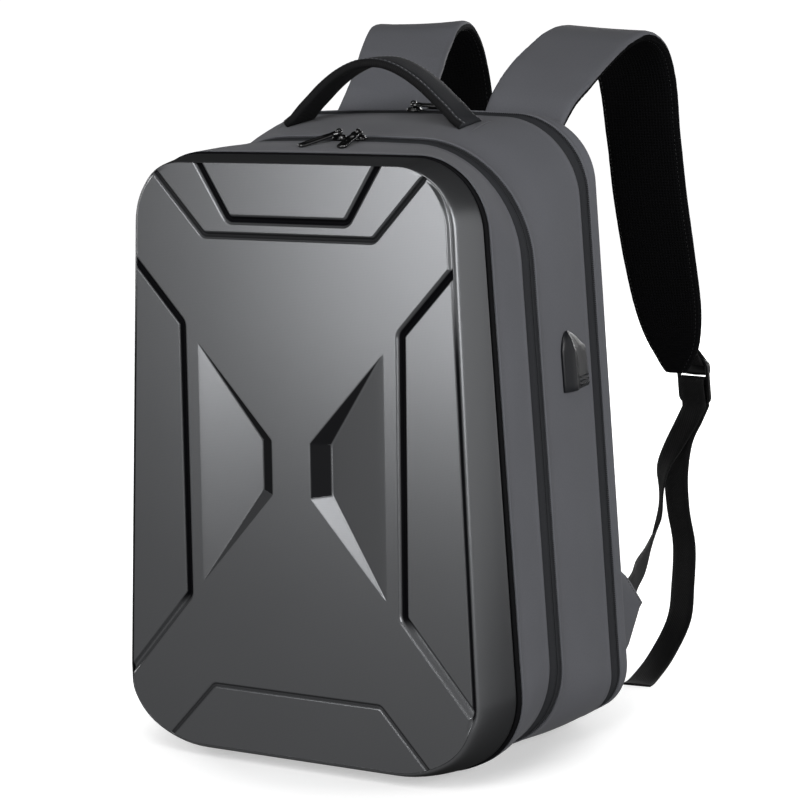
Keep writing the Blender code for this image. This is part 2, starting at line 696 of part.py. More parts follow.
def add_holder(side_name, side, material):
    """Webbing sewn to the strap's outer face and folded round the lock's top bar."""
    strap_centres, strap_frames, _ = strap_path({"right": RIGHT_STRAP, "left": LEFT_STRAP}[side_name])
    lift = STRAP_THICKNESS / 2 + GAP + WEB_THICKNESS / 2
    back = lift + WEB_THICKNESS + GAP
    under, over = range(-9, -4), range(-5, -8, -1)
    lock_across = lock_place(1.0, 0.0, 0.0) - lock_place(0.0, 0.0, 0.0)
    centres = [strap_centres[i] + strap_frames[i][1] * lift for i in under]
    frames = [strap_frames[i] for i in under]
    turns = [math.pi * i / FOLD_STEPS for i in range(FOLD_STEPS + 1)]
    fold = [lock_place(0.0, TOP_BAR + FOLD_RADIUS * math.sin(a), -FOLD_RADIUS * math.cos(a)) for a in turns]
    centres += fold + [strap_centres[i] + strap_frames[i][1] * back for i in over]
    frames += flat_frames(fold, lock_across) + [(strap_frames[i][0], -strap_frames[i][1]) for i in over]
    return add_web("holder_" + side_name, side, centres, frames, material)


def web_route(rows):
    """Centres and frames of a free run of webbing."""
    path = smooth_path(rows, WEB_STEPS)
    centres = [place(*row[:3]) for row in path]
    frames = []
    for i, row in enumerate(path):
        along = (centres[min(i + 1, len(path) - 1)] - centres[max(i - 1, 0)]).normalized()
        across = Vector(row[3:])
        across = (across - along * across.dot(along)).normalized()
        frames.append((across, across.cross(along)))
    return centres, frames


def add_lower_web(side_name, side, material):
    """Webbing from the wing up behind the lock, over its middle bar and down to the free tail."""
    up_centres, up_frames = web_route(WEB_TO_WING)
    tail_centres, tail_frames = web_route(WEB_TAIL)
    inner = BUCKLE_THICKNESS / 2 + GAP + WEB_THICKNESS / 2
    reach = LOW_BAR + 2 * BAR_HALF
    route = [(reach, -inner), (LOW_BAR - BAR_HALF, -inner), (MIDDLE_BAR + BAR_HALF, -FOLD_RADIUS)]
    fold = [math.pi * i / FOLD_STEPS for i in range(FOLD_STEPS + 1)]
    route += [(MIDDLE_BAR - FOLD_RADIUS * math.sin(a), -FOLD_RADIUS * math.cos(a)) for a in fold]
    route += [(MIDDLE_BAR + BAR_HALF, FOLD_RADIUS), (LOW_BAR - BAR_HALF, inner), (reach, inner)]
    centres = [lock_place(0.0, along, out) for along, out in route]
    across = lock_place(1.0, 0.0, 0.0) - lock_place(0.0, 0.0, 0.0)
    frames = flat_frames(centres, across)
    rising = [(across, -up) for across, up in reversed(up_frames)]
    centres = up_centres[::-1] + centres + tail_centres
    return add_web("web_" + side_name, side, centres, rising + frames + tail_frames, material)


def add_wing(side_name, side, material):
    """The fabric wing that the webbing is sewn to."""
    sections = []
    for x in (WING_X, WING_X + WING_THICKNESS):
        sections.append([place(x, d, z) for d, z in WING_CORNERS])
    return add_loft("wing_" + side_name, mirrored(sections, side), material)


def top_frame(x, depth):
    """A frame on the bag's top: its place there, the way right, the way back and the way up off it."""
    step = 0.004
    before, after = (outline_sizes(d)["high"] for d in (depth - step, depth + step))
    back = Vector((0.0, 2 * step, after - before)).normalized()
    right = Vector((1.0, 0.0, 0.0))
    return place(x, depth, outline_sizes(depth)["high"]), right, back, right.cross(back)


def top_height(x, depth):
    """How high the bag's top is at a place across it."""
    row = outline_sizes(depth)
    return row["high"] - row["crown"] * (x / half_width(row["high"], row["swell"])) ** 2


def add_handle(material):
    """A padded webbing arch that stands on the top."""
    _, right, back, _ = top_frame(0.0, HANDLE_DEPTH)
    half = [Vector((x, z)) for x, z in HANDLE_LINE]
    line = [Vector((-p.x, p.y)) for p in reversed(half[1:])] + half
    sections = []
    for i, point in enumerate(line):
        along = line[min(i + 1, len(line) - 1)] - line[max(i - 1, 0)]
        out = Vector((-along.y, 0.0, along.x)).normalized()
        centre = place(point.x, HANDLE_DEPTH, point.y)
        sections.append(padded_section(centre, back, out, HANDLE_WIDTH / 2, HANDLE_THICKNESS))
    slant = (half[-1] - half[-2]).normalized()
    spread = HANDLE_THICKNESS / -slant.y
    for sign, index in ((-1, 0), (1, len(sections))):
        foot = place(sign * HANDLE_FOOT, HANDLE_DEPTH, top_height(HANDLE_FOOT, HANDLE_DEPTH) + GAP)
        section = padded_section(foot, back, right * sign, HANDLE_WIDTH / 2, spread)
        sections.insert(index, section)
    return add_loft("carry_handle", sections, material)


def wall_x(depth, z):
    return half_width(z, outline_sizes(depth)["swell"])


def add_port(material):
    """The moulded charging port: a hood with a ridge, standing on the right wall."""
    sections = []
    for row in PORT:
        port = dict(zip(PORT_COLUMNS, row))
        front, back, level = port["front"], port["back"], port["level"]
        span, proud = back - front, port["proud"]
        shape = ((0.0, 0.0), (0.0, 0.45), (0.12, 0.80), (PORT_RIDGE, 1.0), (0.40, 0.72))
        shape += ((1.0, 0.34), (1.0, 0.0))
        shape += (((MIDDLE_DEPTH - front) / span, 0.0),)
        section = []
        for share, height in shape:
            depth = front + span * share
            section.append(place(wall_x(depth, level) + GAP + proud * height, depth, level))
        sections.append(section)
    return add_loft("usb_port", sections, material)


def slider_frame(x, depth, heading):
    """A slider's frame on the top: place, across its pull, the way the pull lies and up."""
    spot, right, back, up = top_frame(x, depth)
    turn = Matrix.Rotation(math.radians(heading), 3, up)
    return spot, turn @ right, turn @ -back, up


def bridge_centre(spot, up):
    return spot + up * (GAP + SLIDER_HEIGHT + PULL_THICKNESS)


def add_slider(row, material):
    """A zip slider: a tapered body with a bridge for its pull."""
    spot, across, ahead, up = slider_frame(row["x"], row["depth"], row["heading"])
    travel = Vector((1.0, 0.0, 0.0))
    side = up.cross(travel).normalized()
    outline = ((-0.5, 0.34), (-0.3, 0.5), (0.25, 0.5), (0.5, 0.26), (0.5, -0.26), (0.25, -0.5), (-0.3, -0.5))
    outline += ((-0.5, -0.34),)
    body = []
    for lift, grow in ((GAP, 0.92), (SLIDER_HEIGHT * 0.7, 1.0), (SLIDER_HEIGHT, 0.84)):
        along, wide = SLIDER_LENGTH * grow, SLIDER_WIDTH * grow
        body.append([spot + travel * (a * along) + side * (w * wide) + up * lift for a, w in outline])
    slider = add_loft("slider_" + row["name"], body, material)
    hub = bridge_centre(spot, up)
    arch = [(BRIDGE_OUTER, -BRIDGE_OUTER)]
    arch += [tuple(p) for p in arc_points(Vector((0.0, 0.0)), BRIDGE_OUTER, 0.0, math.pi, 8)]
    arch += [(-BRIDGE_OUTER, -BRIDGE_OUTER), (-BRIDGE_INNER, -BRIDGE_OUTER)]
    arch += [tuple(p) for p in arc_points(Vector((0.0, 0.0)), BRIDGE_INNER, math.pi, 0.0, 8)]
    arch += [(BRIDGE_INNER, -BRIDGE_OUTER)]
    sections = []
    for out in (-BRIDGE_WIDTH / 2, BRIDGE_WIDTH / 2):
        sections.append([hub + ahead * a + up * b + across * out for a, b in arch])
    add_boolean(slider, add_loft("bridge_" + row["name"], sections, material), "UNION")
    return slider


def add_pull(row, material):
    """A zip pull: a long tab whose eye hangs on the slider's bridge. Its origin is on the hinge."""
    spot, across, ahead, up = slider_frame(row["x"], row["depth"], row["heading"])
    hub = bridge_centre(spot, up)
    drop = math.radians(row["drop"])
    lie = ahead * math.cos(drop) - up * math.sin(drop)
    normal = across.cross(lie).normalized()
    half, tip = PULL_WIDTH / 2, PULL_LENGTH
    outline = ((-half, -PULL_BAR / 2), (-half, tip - half), (-half * 0.6, tip - half * 0.3), (0.0, tip))
    outline += ((half * 0.6, tip - half * 0.3), (half, tip - half), (half, -PULL_BAR / 2))
    inner = half - PULL_BAR
    eye = ((-inner, PULL_BAR / 2), (-inner, PULL_EYE), (inner, PULL_EYE), (inner, PULL_BAR / 2))
    items = []
    for name, shape, thick in (("pull_", outline, PULL_THICKNESS), ("eye_", eye, 2 * PULL_THICKNESS)):
        layers = [[across * a + lie * b + normal * out for a, b in shape] for out in (-thick / 2, thick / 2)]
        items.append(add_loft(name + row["name"], layers, material))
        items[-1].location = hub
    add_boolean(*items, "DIFFERENCE")
    return items[0]


def build():
    clear_scene()
    shell = finish("moulded_shell", (0.115, 0.117, 0.122), 0.32, 0.55)
    fabric = finish("body_fabric", (0.085, 0.087, 0.092), 0.75)
    tape = finish("zip_tape", (0.028, 0.029, 0.032), 0.7)
    welt = finish("piping_welt", (0.012, 0.012, 0.013), 0.5)
    mesh = finish("strap_mesh", (0.008, 0.008, 0.009), 0.85)
    webbing = finish("webbing", (0.010, 0.010, 0.011), 0.7)
    plastic = finish("moulded_plastic", (0.014, 0.014, 0.015), 0.4)
    metal = finish("black_metal", (0.016, 0.016, 0.018), 0.25, 0.9)
    add_front_shell(shell)
    add_piping(welt)
    add_wall_band("front_gusset", (FRONT_GUSSET, FRONT_FULL, FRONT_ZIP), fabric)
    add_wall_band("front_zipper", (FRONT_ZIP + GAP, MIDDLE_GUSSET - GAP), tape)
    add_wall_band("middle_gusset", (MIDDLE_GUSSET, MIDDLE_DEPTH, REAR_ZIP), fabric)
    add_wall_band("rear_zipper", (REAR_ZIP + GAP, REAR_RIM - GAP), tape)
    add_wall_band("rear_rim", (REAR_RIM, RIM_FULL, RIM_BACK), fabric)
    add_back_panel(mesh)
    add_handle(webbing)
    add_port(plastic)
    for name, side in SIDES.items():
        add_shoulder_strap(name, side, fabric)
        add_holder(name, side, webbing)
        add_buckle(name, side, plastic)
        add_lower_web(name, side, webbing)
        add_wing(name, side, fabric)
    for values in SLIDERS:
        row = dict(zip(SLIDER_COLUMNS, values))
        add_slider(row, metal)
        add_pull(row, metal)


build()
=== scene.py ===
"""Looks for the hard shell backpack: its moulded shell, fabric body, zips, straps, adjusters and studio."""
import math

import bmesh
import bpy
import numpy as np
from bpy.props import FloatProperty, FloatVectorProperty, IntProperty, PointerProperty
from mathutils import Matrix, Vector
from mathutils.geometry import delaunay_2d_cdt


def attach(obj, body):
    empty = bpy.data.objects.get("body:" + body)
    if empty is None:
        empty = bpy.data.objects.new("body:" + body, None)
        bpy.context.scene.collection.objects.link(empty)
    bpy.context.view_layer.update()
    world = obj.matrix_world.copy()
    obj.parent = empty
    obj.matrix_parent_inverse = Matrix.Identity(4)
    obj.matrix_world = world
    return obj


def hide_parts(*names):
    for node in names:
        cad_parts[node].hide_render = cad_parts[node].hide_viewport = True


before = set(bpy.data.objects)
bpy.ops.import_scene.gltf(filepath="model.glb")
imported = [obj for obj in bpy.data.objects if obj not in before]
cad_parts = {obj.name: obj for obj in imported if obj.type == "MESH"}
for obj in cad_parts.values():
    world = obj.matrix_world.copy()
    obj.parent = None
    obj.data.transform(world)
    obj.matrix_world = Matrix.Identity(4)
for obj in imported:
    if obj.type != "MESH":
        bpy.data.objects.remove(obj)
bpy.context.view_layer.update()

bl_info = {
    "name": "Hard shell backpack",
    "version": (1, 0, 0),
    "blender": (4, 5, 0),
    "location": "View3D > Sidebar > Backpack",
    "description": "Builds a backpack with a pressed shell, zips, straps and a charging port",
    "category": "Object",
}

BAG = "bag"

# ---------------------------------------------------------------- the bag's sizes, as its solids have them

ORIGIN_DEPTH = 0.1125
HALF_WIDTH_FOOT = 0.1650
SIDE_TAPER = 0.0443
MIDDLE_LEVEL = 0.240
FACE_LEAN = 0.045
SHELL_RIM = 0.0468
PIPING_DEPTH = 0.0500
FRONT_GUSSET = 0.0528
FRONT_FULL = 0.0720
FRONT_ZIP = 0.0925
MIDDLE_GUSSET = 0.1125
MIDDLE_DEPTH = 0.1480
REAR_ZIP = 0.1865
REAR_RIM = 0.2025
RIM_FULL = 0.2110
RIM_BACK = 0.2165

FABRIC_WALL = 0.0030

OUTLINE_COLUMNS = ("depth", "swell", "low", "high", "side_corner", "foot_corner", "top_corner", "crown")
OUTLINES = np.array((
    (SHELL_RIM, 0.0000, 0.0012, 0.4530, 0.060, 0.094, 0.053, 0.001),
    (FRONT_GUSSET, 0.0015, 0.0003, 0.4540, 0.060, 0.094, 0.055, 0.001),
    (FRONT_FULL, 0.0030, 0.0000, 0.4572, 0.068, 0.094, 0.068, 0.004),
    (FRONT_ZIP, 0.0024, 0.0000, 0.4585, 0.076, 0.092, 0.083, 0.005),
    (MIDDLE_GUSSET, 0.0022, 0.0000, 0.4611, 0.068, 0.094, 0.090, 0.005),
    (MIDDLE_DEPTH, 0.0040, 0.0000, 0.4672, 0.050, 0.100, 0.078, 0.005),
    (REAR_ZIP, 0.0022, 0.0000, 0.4710, 0.037, 0.106, 0.060, 0.005),
    (REAR_RIM, 0.0020, 0.0000, 0.4728, 0.036, 0.105, 0.0585, 0.005),
    (RIM_FULL, 0.0032, 0.0002, 0.4705, 0.040, 0.098, 0.050, 0.004),
    (RIM_BACK, -0.0015, 0.0012, 0.4665, 0.044, 0.090, 0.046, 0.004),
))
CORNER_JOIN = math.radians(-58)

# Each pressed line's centre, in (x, z) on the right half, with its width, its depth, whether it runs on to the
# left half, and how strongly painted shade darkens its floor
GROOVES = (
    (((0.0735, 0.3963), (0.1140, 0.4393), (0.1340, 0.4605)), 0.0058, 0.0034, True, 0.9),
    (((0.0511, 0.4080), (0.0753, 0.4462), (0.0900, 0.4693)), 0.0076, 0.0038, True, 1.0),
    (((0.1800, 0.4211), (0.0952, 0.3303), (0.0944, 0.1266), (0.1900, 0.0175)), 0.0092, 0.0046, False, 1.0),
    (((0.0732, 0.0598), (0.1141, 0.0165), (0.1330, -0.0035)), 0.0044, 0.0016, True, 0.8),
)
SIDE_GROOVE = 2
GROOVE_TURN, GROOVE_MARGIN = 0.0060, 0.0003
SIDE_PANEL_DEPTH = 0.0016
FACET_OUTER, FACET_TOP, FACET_FOOT = 0.0806, 0.3172, 0.1368
FACET_INNER, SHOULDER_HIGH, SHOULDER_LOW = 0.0162, 0.2480, 0.2079
FLOOR_INNER, FLOOR_HIGH, FLOOR_LOW = 0.0300, 0.2463, 0.2093
FACET_DEPTH = 0.0090

# Shoulder straps from the top of the back to the tip, in degrees of turn about the vertical and of roll
STRAP_THICKNESS, STRAP_EDGE = 0.0090, 0.0042
STRAP_COLUMNS = ("x", "depth", "z", "half_width", "turn", "roll")
STRAP_TAIL = (
    (0.084, 0.4306, 0.3825, 0.0335, 0, 0),
    (0.084, 0.4443, 0.3318, 0.0330, 0, 0),
    (0.086, 0.4553, 0.2863, 0.0305, 0, 0),
    (0.088, 0.4610, 0.2570, 0.0240, 0, 0),
    (0.088, 0.4635, 0.2390, 0.0150, 0, 0),
    (0.088, 0.4645, 0.2310, 0.0095, 0, 0),
)
STRAPS = {
    "right": (
        (0.078, 0.2237, 0.4540, 0.0350, 0, 0),
        (0.078, 0.2480, 0.4765, 0.0350, 2, 6),
        (0.078, 0.2743, 0.4917, 0.0350, 4, 11),
        (0.078, 0.3080, 0.5062, 0.0350, 8, 9),
        (0.079, 0.3416, 0.5177, 0.0350, 10, 7),
        (0.081, 0.3717, 0.5193, 0.0350, 10, 5),
        (0.083, 0.3971, 0.5061, 0.0345, 8, 3),
        (0.084, 0.4119, 0.4794, 0.0340, 3, 0),
        (0.084, 0.4208, 0.4330, 0.0335, 0, 0),
    ),
    "left": (
        (0.056, 0.2237, 0.4560, 0.0350, 0, 0),
        (0.053, 0.2480, 0.4775, 0.0350, -28, 2),
        (0.059, 0.2745, 0.4960, 0.0350, -35, 2),
        (0.0675, 0.3013, 0.5128, 0.0350, -36, 0),
        (0.074, 0.3279, 0.5253, 0.0350, -35, 0),
        (0.079, 0.3559, 0.5240, 0.0350, -32, 0),
        (0.081, 0.3792, 0.5089, 0.0345, -26, 0),
        (0.083, 0.3969, 0.4801, 0.0340, -16, 0),
        (0.084, 0.4119, 0.4334, 0.0335, -6, 0),
    ),
}
SIDES = {"right": 1, "left": -1}

# Ladder-lock behind the strap's tip: its upper end, the way it hangs, its turn in degrees and its sizes
LOCK_TOP = (0.0965, 0.4780, 0.2410)
LOCK_HANG = (0.020, 0.080, -1.0)
LOCK_TURN = -8
BUCKLE_WIDTH, BUCKLE_LENGTH, BUCKLE_THICKNESS, BUCKLE_CORNER = 0.0320, 0.0400, 0.0030, 0.0070
BAR_HALF = 0.0020
TOP_BAR, MIDDLE_BAR, LOW_BAR = BAR_HALF, BUCKLE_LENGTH / 2, BUCKLE_LENGTH - BAR_HALF
SLOT_WIDTH = 0.0254

# Webbing up to the lock and down to its free end, as (x, depth, z) and the direction across it
WEB_WIDTH, WEB_THICKNESS = 0.0240, 0.0015
WEB_TO_WING = (
    (0.0950, 0.4640, 0.1850, 0.97, -0.25, 0.00),
    (0.0940, 0.4430, 0.1700, 0.88, -0.45, 0.00),
    (0.0950, 0.4233, 0.1547, 0.70, -0.70, 0.05),
    (0.0985, 0.4096, 0.1322, 0.50, -0.84, 0.20),
    (0.1050, 0.3870, 0.1130, 0.50, -0.28, 0.80),
    (0.1130, 0.3588, 0.1036, 0.25, -0.10, 0.96),
    (0.1250, 0.3250, 0.1010, 0.10, 0.00, 1.00),
    (0.1360, 0.2900, 0.0995, 0.00, 0.05, 1.00),
    (0.1450, 0.2640, 0.0960, 0.00, 0.10, 1.00),
    (0.1489, 0.2450, 0.0935, 0.00, 0.15, 1.00),
    (0.1489, 0.2300, 0.0920, 0.00, 0.15, 1.00),
)
WEB_TAIL = (
    (0.0965, 0.4700, 0.1870, 1.00, -0.10, 0.00),
    (0.0965, 0.4520, 0.1730, 1.00, -0.12, 0.00),
    (0.0975, 0.4410, 0.1480, 1.00, -0.15, 0.00),
    (0.0995, 0.4395, 0.1180, 1.00, -0.20, 0.00),
    (0.1040, 0.4400, 0.0880, 1.00, -0.22, 0.00),
    (0.1080, 0.4280, 0.0570, 1.00, -0.25, 0.00),
    (0.1130, 0.4085, 0.0310, 1.00, -0.25, 0.00),
    (0.1180, 0.3645, 0.0115, 1.00, -0.18, 0.00),
    (0.1220, 0.3250, 0.0028, 1.00, -0.10, 0.00),
    (0.1240, 0.3080, 0.0024, 1.00, -0.06, 0.00),
)

# Fabric wing behind the rim at the foot, as (depth, z)
WING_CORNERS = ((0.2238, 0.1215), (0.2389, 0.1115), (0.2470, 0.1041), (0.2660, 0.0836))
WING_CORNERS += ((0.2612, 0.0808), (0.2411, 0.0559), (0.2238, 0.0445))
WING_X, WING_THICKNESS = 0.1500, 0.0030

# Half of the carry handle's middle line, from its crown to a foot, as (x, z)
HANDLE_DEPTH, HANDLE_WIDTH, HANDLE_THICKNESS = 0.1520, 0.0310, 0.0070
HANDLE_LINE = (
    (0.0000, 0.5130), (0.0100, 0.5122), (0.0200, 0.5092), (0.0300, 0.5045), (0.0385, 0.4992),
    (0.0470, 0.4928), (0.0545, 0.4862), (0.0630, 0.4788), (0.0710, 0.4708),
)
HANDLE_FOOT = 0.0775
HANDLE_TACKS = (0.0862, 0.0872)
HANDLE_TACK_DEPTHS = (0.1395, 0.1520, 0.1645)
RING_SIDE = 30  # a ring's points before this one lie along the foot and the lower right corner

# Charging port on the right wall, from its foot to its top, as (level, front, back, how far it stands out)
PORT = (
    (0.2720, 0.1390, 0.1780, 0.0050),
    (0.2990, 0.1386, 0.1758, 0.0050),
    (0.3050, 0.1393, 0.1690, 0.0048),
    (0.3110, 0.1412, 0.1610, 0.0038),
    (0.3150, 0.1440, 0.1530, 0.0022),
    (0.3165, 0.1465, 0.1500, 0.0010),
)

# Zip sliders: place across, seam depth, heading of the pull (0 is to the front) and its droop, in degrees
SLIDERS = {"left": (-0.0040, 0.1000, -20, 4), "right": (0.0125, 0.1000, 12, 4), "rear": (0.0020, 0.1970, 90, 3)}
SLIDER_LENGTH, SLIDER_WIDTH, SLIDER_HEIGHT = 0.0120, 0.0084, 0.0034
PULL_LENGTH, PULL_WIDTH, PULL_THICKNESS = 0.0380, 0.0084, 0.0016
GAP = 0.0003
FOLD_RADIUS = math.hypot(BAR_HALF, BUCKLE_THICKNESS / 2) + 1.5 * GAP + WEB_THICKNESS / 2
FOLD_TURNS = [math.pi * i / 6 for i in range(7)]
ZIPS = {"front": (FRONT_ZIP, MIDDLE_GUSSET, 0.1055), "rear": (REAR_ZIP, REAR_RIM, 0.1995)}


# ---------------------------------------------------------------- colours and sizes a user may change

def linear(text):
    """A web colour as linear red, green, blue."""
    shares = [int(text[i:i + 2], 16) / 255 for i in (1, 3, 5)]
    return tuple(s / 12.92 if s <= 0.04045 else ((s + 0.055) / 1.055) ** 2.4 for s in shares)


def colour_prop(name, text, description):
    return FloatVectorProperty(
        name=name, description=description, subtype="COLOR", size=3, min=0.0, max=1.0, default=linear(text)
    )


def length_prop(name, metres, description):
    return FloatProperty(name=name, description=description, unit="LENGTH", min=0.0, default=metres, precision=5)


class BagColours(bpy.types.PropertyGroup):
    shell: colour_prop("Shell", "#5f6062", "Painted hard shell")
    fabric: colour_prop("Fabric", "#54555a", "Coated polyester of the body and straps")
    tape: colour_prop("Zip tape", "#27282b", "Woven tape of the zips")
    # The piping's black is also the colour of the painted shade in the shell's pressed lines
    piping: colour_prop("Piping", "#08080a", "Welt round the shell")
    mesh: colour_prop("Mesh", "#050506", "Spacer mesh inside the straps")
    back_mesh: colour_prop("Back mesh", "#2b2c2f", "Spacer mesh of the back")
    webbing: colour_prop("Webbing", "#060607", "Woven webbing, binding and dark thread")
    handle: colour_prop("Handle", "#222326", "Cover of the carry handle")
    plastic: colour_prop("Plastic", "#0b0b0c", "Moulded adjusters")
    port: colour_prop("Port", "#17181b", "Moulded charging port")
    metal: colour_prop("Metal", "#0a0a0b", "Lacquered zip hardware")
    thread: colour_prop("Thread", "#6e6f72", "Sewing thread")


class BagSizes(bpy.types.PropertyGroup):
    thread_gap: length_prop("Weave", 0.0009, "Spacing of the fabric's threads, drawn coarser than the real 0.4 mm")
    mesh_gap: length_prop("Mesh cell", 0.0024, "Spacing of the holes of the spacer mesh")
    rib_gap: length_prop("Web rib", 0.0016, "Spacing of the ribs of the webbing")
    stitch: length_prop("Stitch", 0.0026, "Length of one stitch")
    stitch_gap: length_prop("Stitch spacing", 0.0038, "From one stitch to the next")
    tooth_gap: length_prop("Tooth spacing", 0.0016, "From one zip tooth to the next")
    edge_round: length_prop("Press radius", 0.0008, "How softly the shell's pressed lines turn")
    ring_steps: IntProperty(name="Ring steps", description="Points round each corner", default=16, min=4)


class StudioSettings(bpy.types.PropertyGroup):
    floor_size: length_prop("Floor", 80.0, "Width of the pale floor")
    lamp_power: FloatProperty(name="Lamps", description="Strength of the studio lamps", default=1.0, min=0.0)
    lens: FloatProperty(name="Lens", description="Focal length in millimetres", default=128.25, min=1.0)


# ---------------------------------------------------------------- node trees and materials

def add_node(tree, kind, inputs=None, **settings):
    """Adds a node. Settings are its properties; inputs are values, sockets or nodes, by input name or number."""
    made = tree.nodes.new(kind)
    for name, value in settings.items():
        setattr(made, name, value)
    for name, value in (inputs or {}).items():
        if isinstance(value, bpy.types.Node):
            value = value.outputs[0]
        if isinstance(value, bpy.types.NodeSocket):
            tree.links.new(value, made.inputs[name])
        else:
            made.inputs[name].default_value = value
    return made


def start_material(name):
    """An empty material with its tree."""
    material = bpy.data.materials.new(name)
    material.use_nodes = True
    material.node_tree.nodes.clear()
    return material, material.node_tree


def end_material(tree, colour, roughness, normal=None, **fixed):
    """The surface shader. Colour and roughness are nodes or values; fixed ones go on its own sockets."""
    inputs = {"Base Color": colour, "Roughness": roughness}
    inputs.update({key.replace("_", " "): value for key, value in fixed.items()})
    if normal:
        inputs["Normal"] = normal
    shader = add_node(tree, "ShaderNodeBsdfPrincipled", inputs)
    add_node(tree, "ShaderNodeOutputMaterial", {"Surface": shader})


def tinted(tree, factor, base, low, high):
    """The base colour, scaled between low and high by a factor."""
    ramp = add_node(tree, "ShaderNodeMapRange", {"Value": factor, "To Min": low, "To Max": high})
    return add_node(tree, "ShaderNodeVectorMath", {0: (*base,), "Scale": ramp}, operation="SCALE")


def weave(tree, vector, gap, directions="XY"):
    """Over-and-under threads both ways, or ribs one way: heights from 0 to 1."""
    bands = [
        add_node(
            tree, "ShaderNodeTexWave", {"Vector": vector, "Scale": math.pi / (10 * gap)},
            wave_type="BANDS", bands_direction=direction, wave_profile="SIN"
        ).outputs["Fac"]
        for direction in directions
    ]
    if len(bands) == 1:
        return bands[0]
    return add_node(tree, "ShaderNodeMath", {0: bands[0], 1: bands[1]}, operation="MULTIPLY")


def turned_weave(tree, metres, gap, degrees):
    """A weave that runs askew to the band's length."""
    turn = (0.0, 0.0, math.radians(degrees))
    return weave(tree, add_node(tree, "ShaderNodeMapping", {"Vector": metres, "Rotation": turn}), gap)


def face_plane(tree, place):
    """Places for a flat pattern: height second, and depth added to the first so that sides don't streak."""
    parts = add_node(tree, "ShaderNodeSeparateXYZ", {"Vector": place}).outputs
    along = add_node(tree, "ShaderNodeMath", {0: parts["X"], 1: parts["Y"]}, operation="ADD")
    return add_node(tree, "ShaderNodeCombineXYZ", {"X": along, "Y": parts["Z"]})


def shell_material(colours):
    """Thermoformed black ABS under satin metallic lacquer, with a faint woven print; painted shade blackens its
    hollows.
    """
    material, tree = start_material("lacquered_abs")
    place = add_node(tree, "ShaderNodeTexCoord").outputs["Object"]
    cloth = weave(tree, face_plane(tree, place), PRINT_GAP)
    flow = add_node(tree, "ShaderNodeTexNoise", {"Vector": place, "Scale": 9.0, "Detail": 3.0})
    grain = add_node(tree, "ShaderNodeTexNoise", {"Vector": place, "Scale": 1800.0, "Detail": 2.0})
    normal = add_node(tree, "ShaderNodeBump", {"Height": cloth, "Distance": 0.00002, "Strength": 0.5})
    normal = add_node(
        tree, "ShaderNodeBump", {"Height": grain, "Distance": 0.00001, "Strength": 0.35, "Normal": normal}
    )
    rough = add_node(tree, "ShaderNodeMapRange", {"Value": flow, "To Min": 0.29, "To Max": 0.34})
    # painted_shade: painted shade in the pressed lines, the valley beside the step and the facets' upper walls; it
    # takes away metal, shine and coat, adds roughness and mixes the colour towards the piping's black
    painted_shade = add_node(tree, "ShaderNodeAttribute", attribute_name="painted_shade").outputs["Fac"]
    metal, shine, coat = (
        add_node(tree, "ShaderNodeMapRange", {"Value": painted_shade, "To Min": unshaded, "To Max": in_shade})
        for unshaded, in_shade in ((0.78, 0.0), (0.5, 0.02), (0.1, 0.0))
    )
    matt = add_node(tree, "ShaderNodeMath", {0: painted_shade, 1: 0.3}, operation="MULTIPLY")
    rough = add_node(tree, "ShaderNodeMath", {0: rough, 1: matt}, operation="ADD")
    lacquer = tinted(tree, cloth, colours.shell, 0.94, 1.05)
    # Painted shade: the lacquer's colour goes to the piping's black where painted_shade is full
    mix = {"Factor": painted_shade, 6: lacquer, 7: (*colours.piping, 1.0)}
    colour = add_node(tree, "ShaderNodeMix", mix, data_type="RGBA").outputs[2]
    end_material(
        tree, colour, rough, normal, Metallic=metal, Specular_IOR_Level=shine, Coat_Weight=coat, Coat_Roughness=0.25
    )
    return material


def fabric_material(colours, sizes):
    """Coated polyester plain weave: matt and even, with a fine thread and slight waviness."""
    material, tree = start_material("coated_polyester")
    place = add_node(tree, "ShaderNodeTexCoord").outputs["Object"]
    metres = add_node(tree, "ShaderNodeUVMap", uv_map="metres")
    threads = weave(tree, metres, sizes.thread_gap)
    patches = add_node(tree, "ShaderNodeTexNoise", {"Vector": place, "Scale": 14.0, "Detail": 3.0})
    slub = add_node(tree, "ShaderNodeTexNoise", {"Vector": metres, "Scale": 700.0, "Detail": 2.0})
    normal = add_node(tree, "ShaderNodeBump", {"Height": patches, "Distance": 0.0006, "Strength": 0.25})
    normal = add_node(
        tree, "ShaderNodeBump", {"Height": threads, "Distance": 0.00006, "Strength": 0.5, "Normal": normal}
    )
    both = add_node(tree, "ShaderNodeMath", {0: patches, 1: slub}, operation="MULTIPLY")
    colour = tinted(tree, both, colours.fabric, 0.88, 1.32)
    rough = add_node(tree, "ShaderNodeMapRange", {"Value": threads, "To Min": 0.86, "To Max": 0.72})
    end_material(tree, colour, rough, normal, Sheen_Weight=0.06, Sheen_Roughness=0.5)
    return material


def tape_material(colours, sizes):
    """Woven zip tape: fine ribs across its length."""
    material, tree = start_material("zip_tape")
    metres = add_node(tree, "ShaderNodeUVMap", uv_map="metres")
    ribs = weave(tree, metres, sizes.thread_gap, "Y")
    normal = add_node(tree, "ShaderNodeBump", {"Height": ribs, "Distance": 0.00012, "Strength": 0.8})
    end_material(tree, tinted(tree, ribs, colours.tape, 0.75, 1.25), 0.85, normal, Specular_IOR_Level=0.25)
    return material


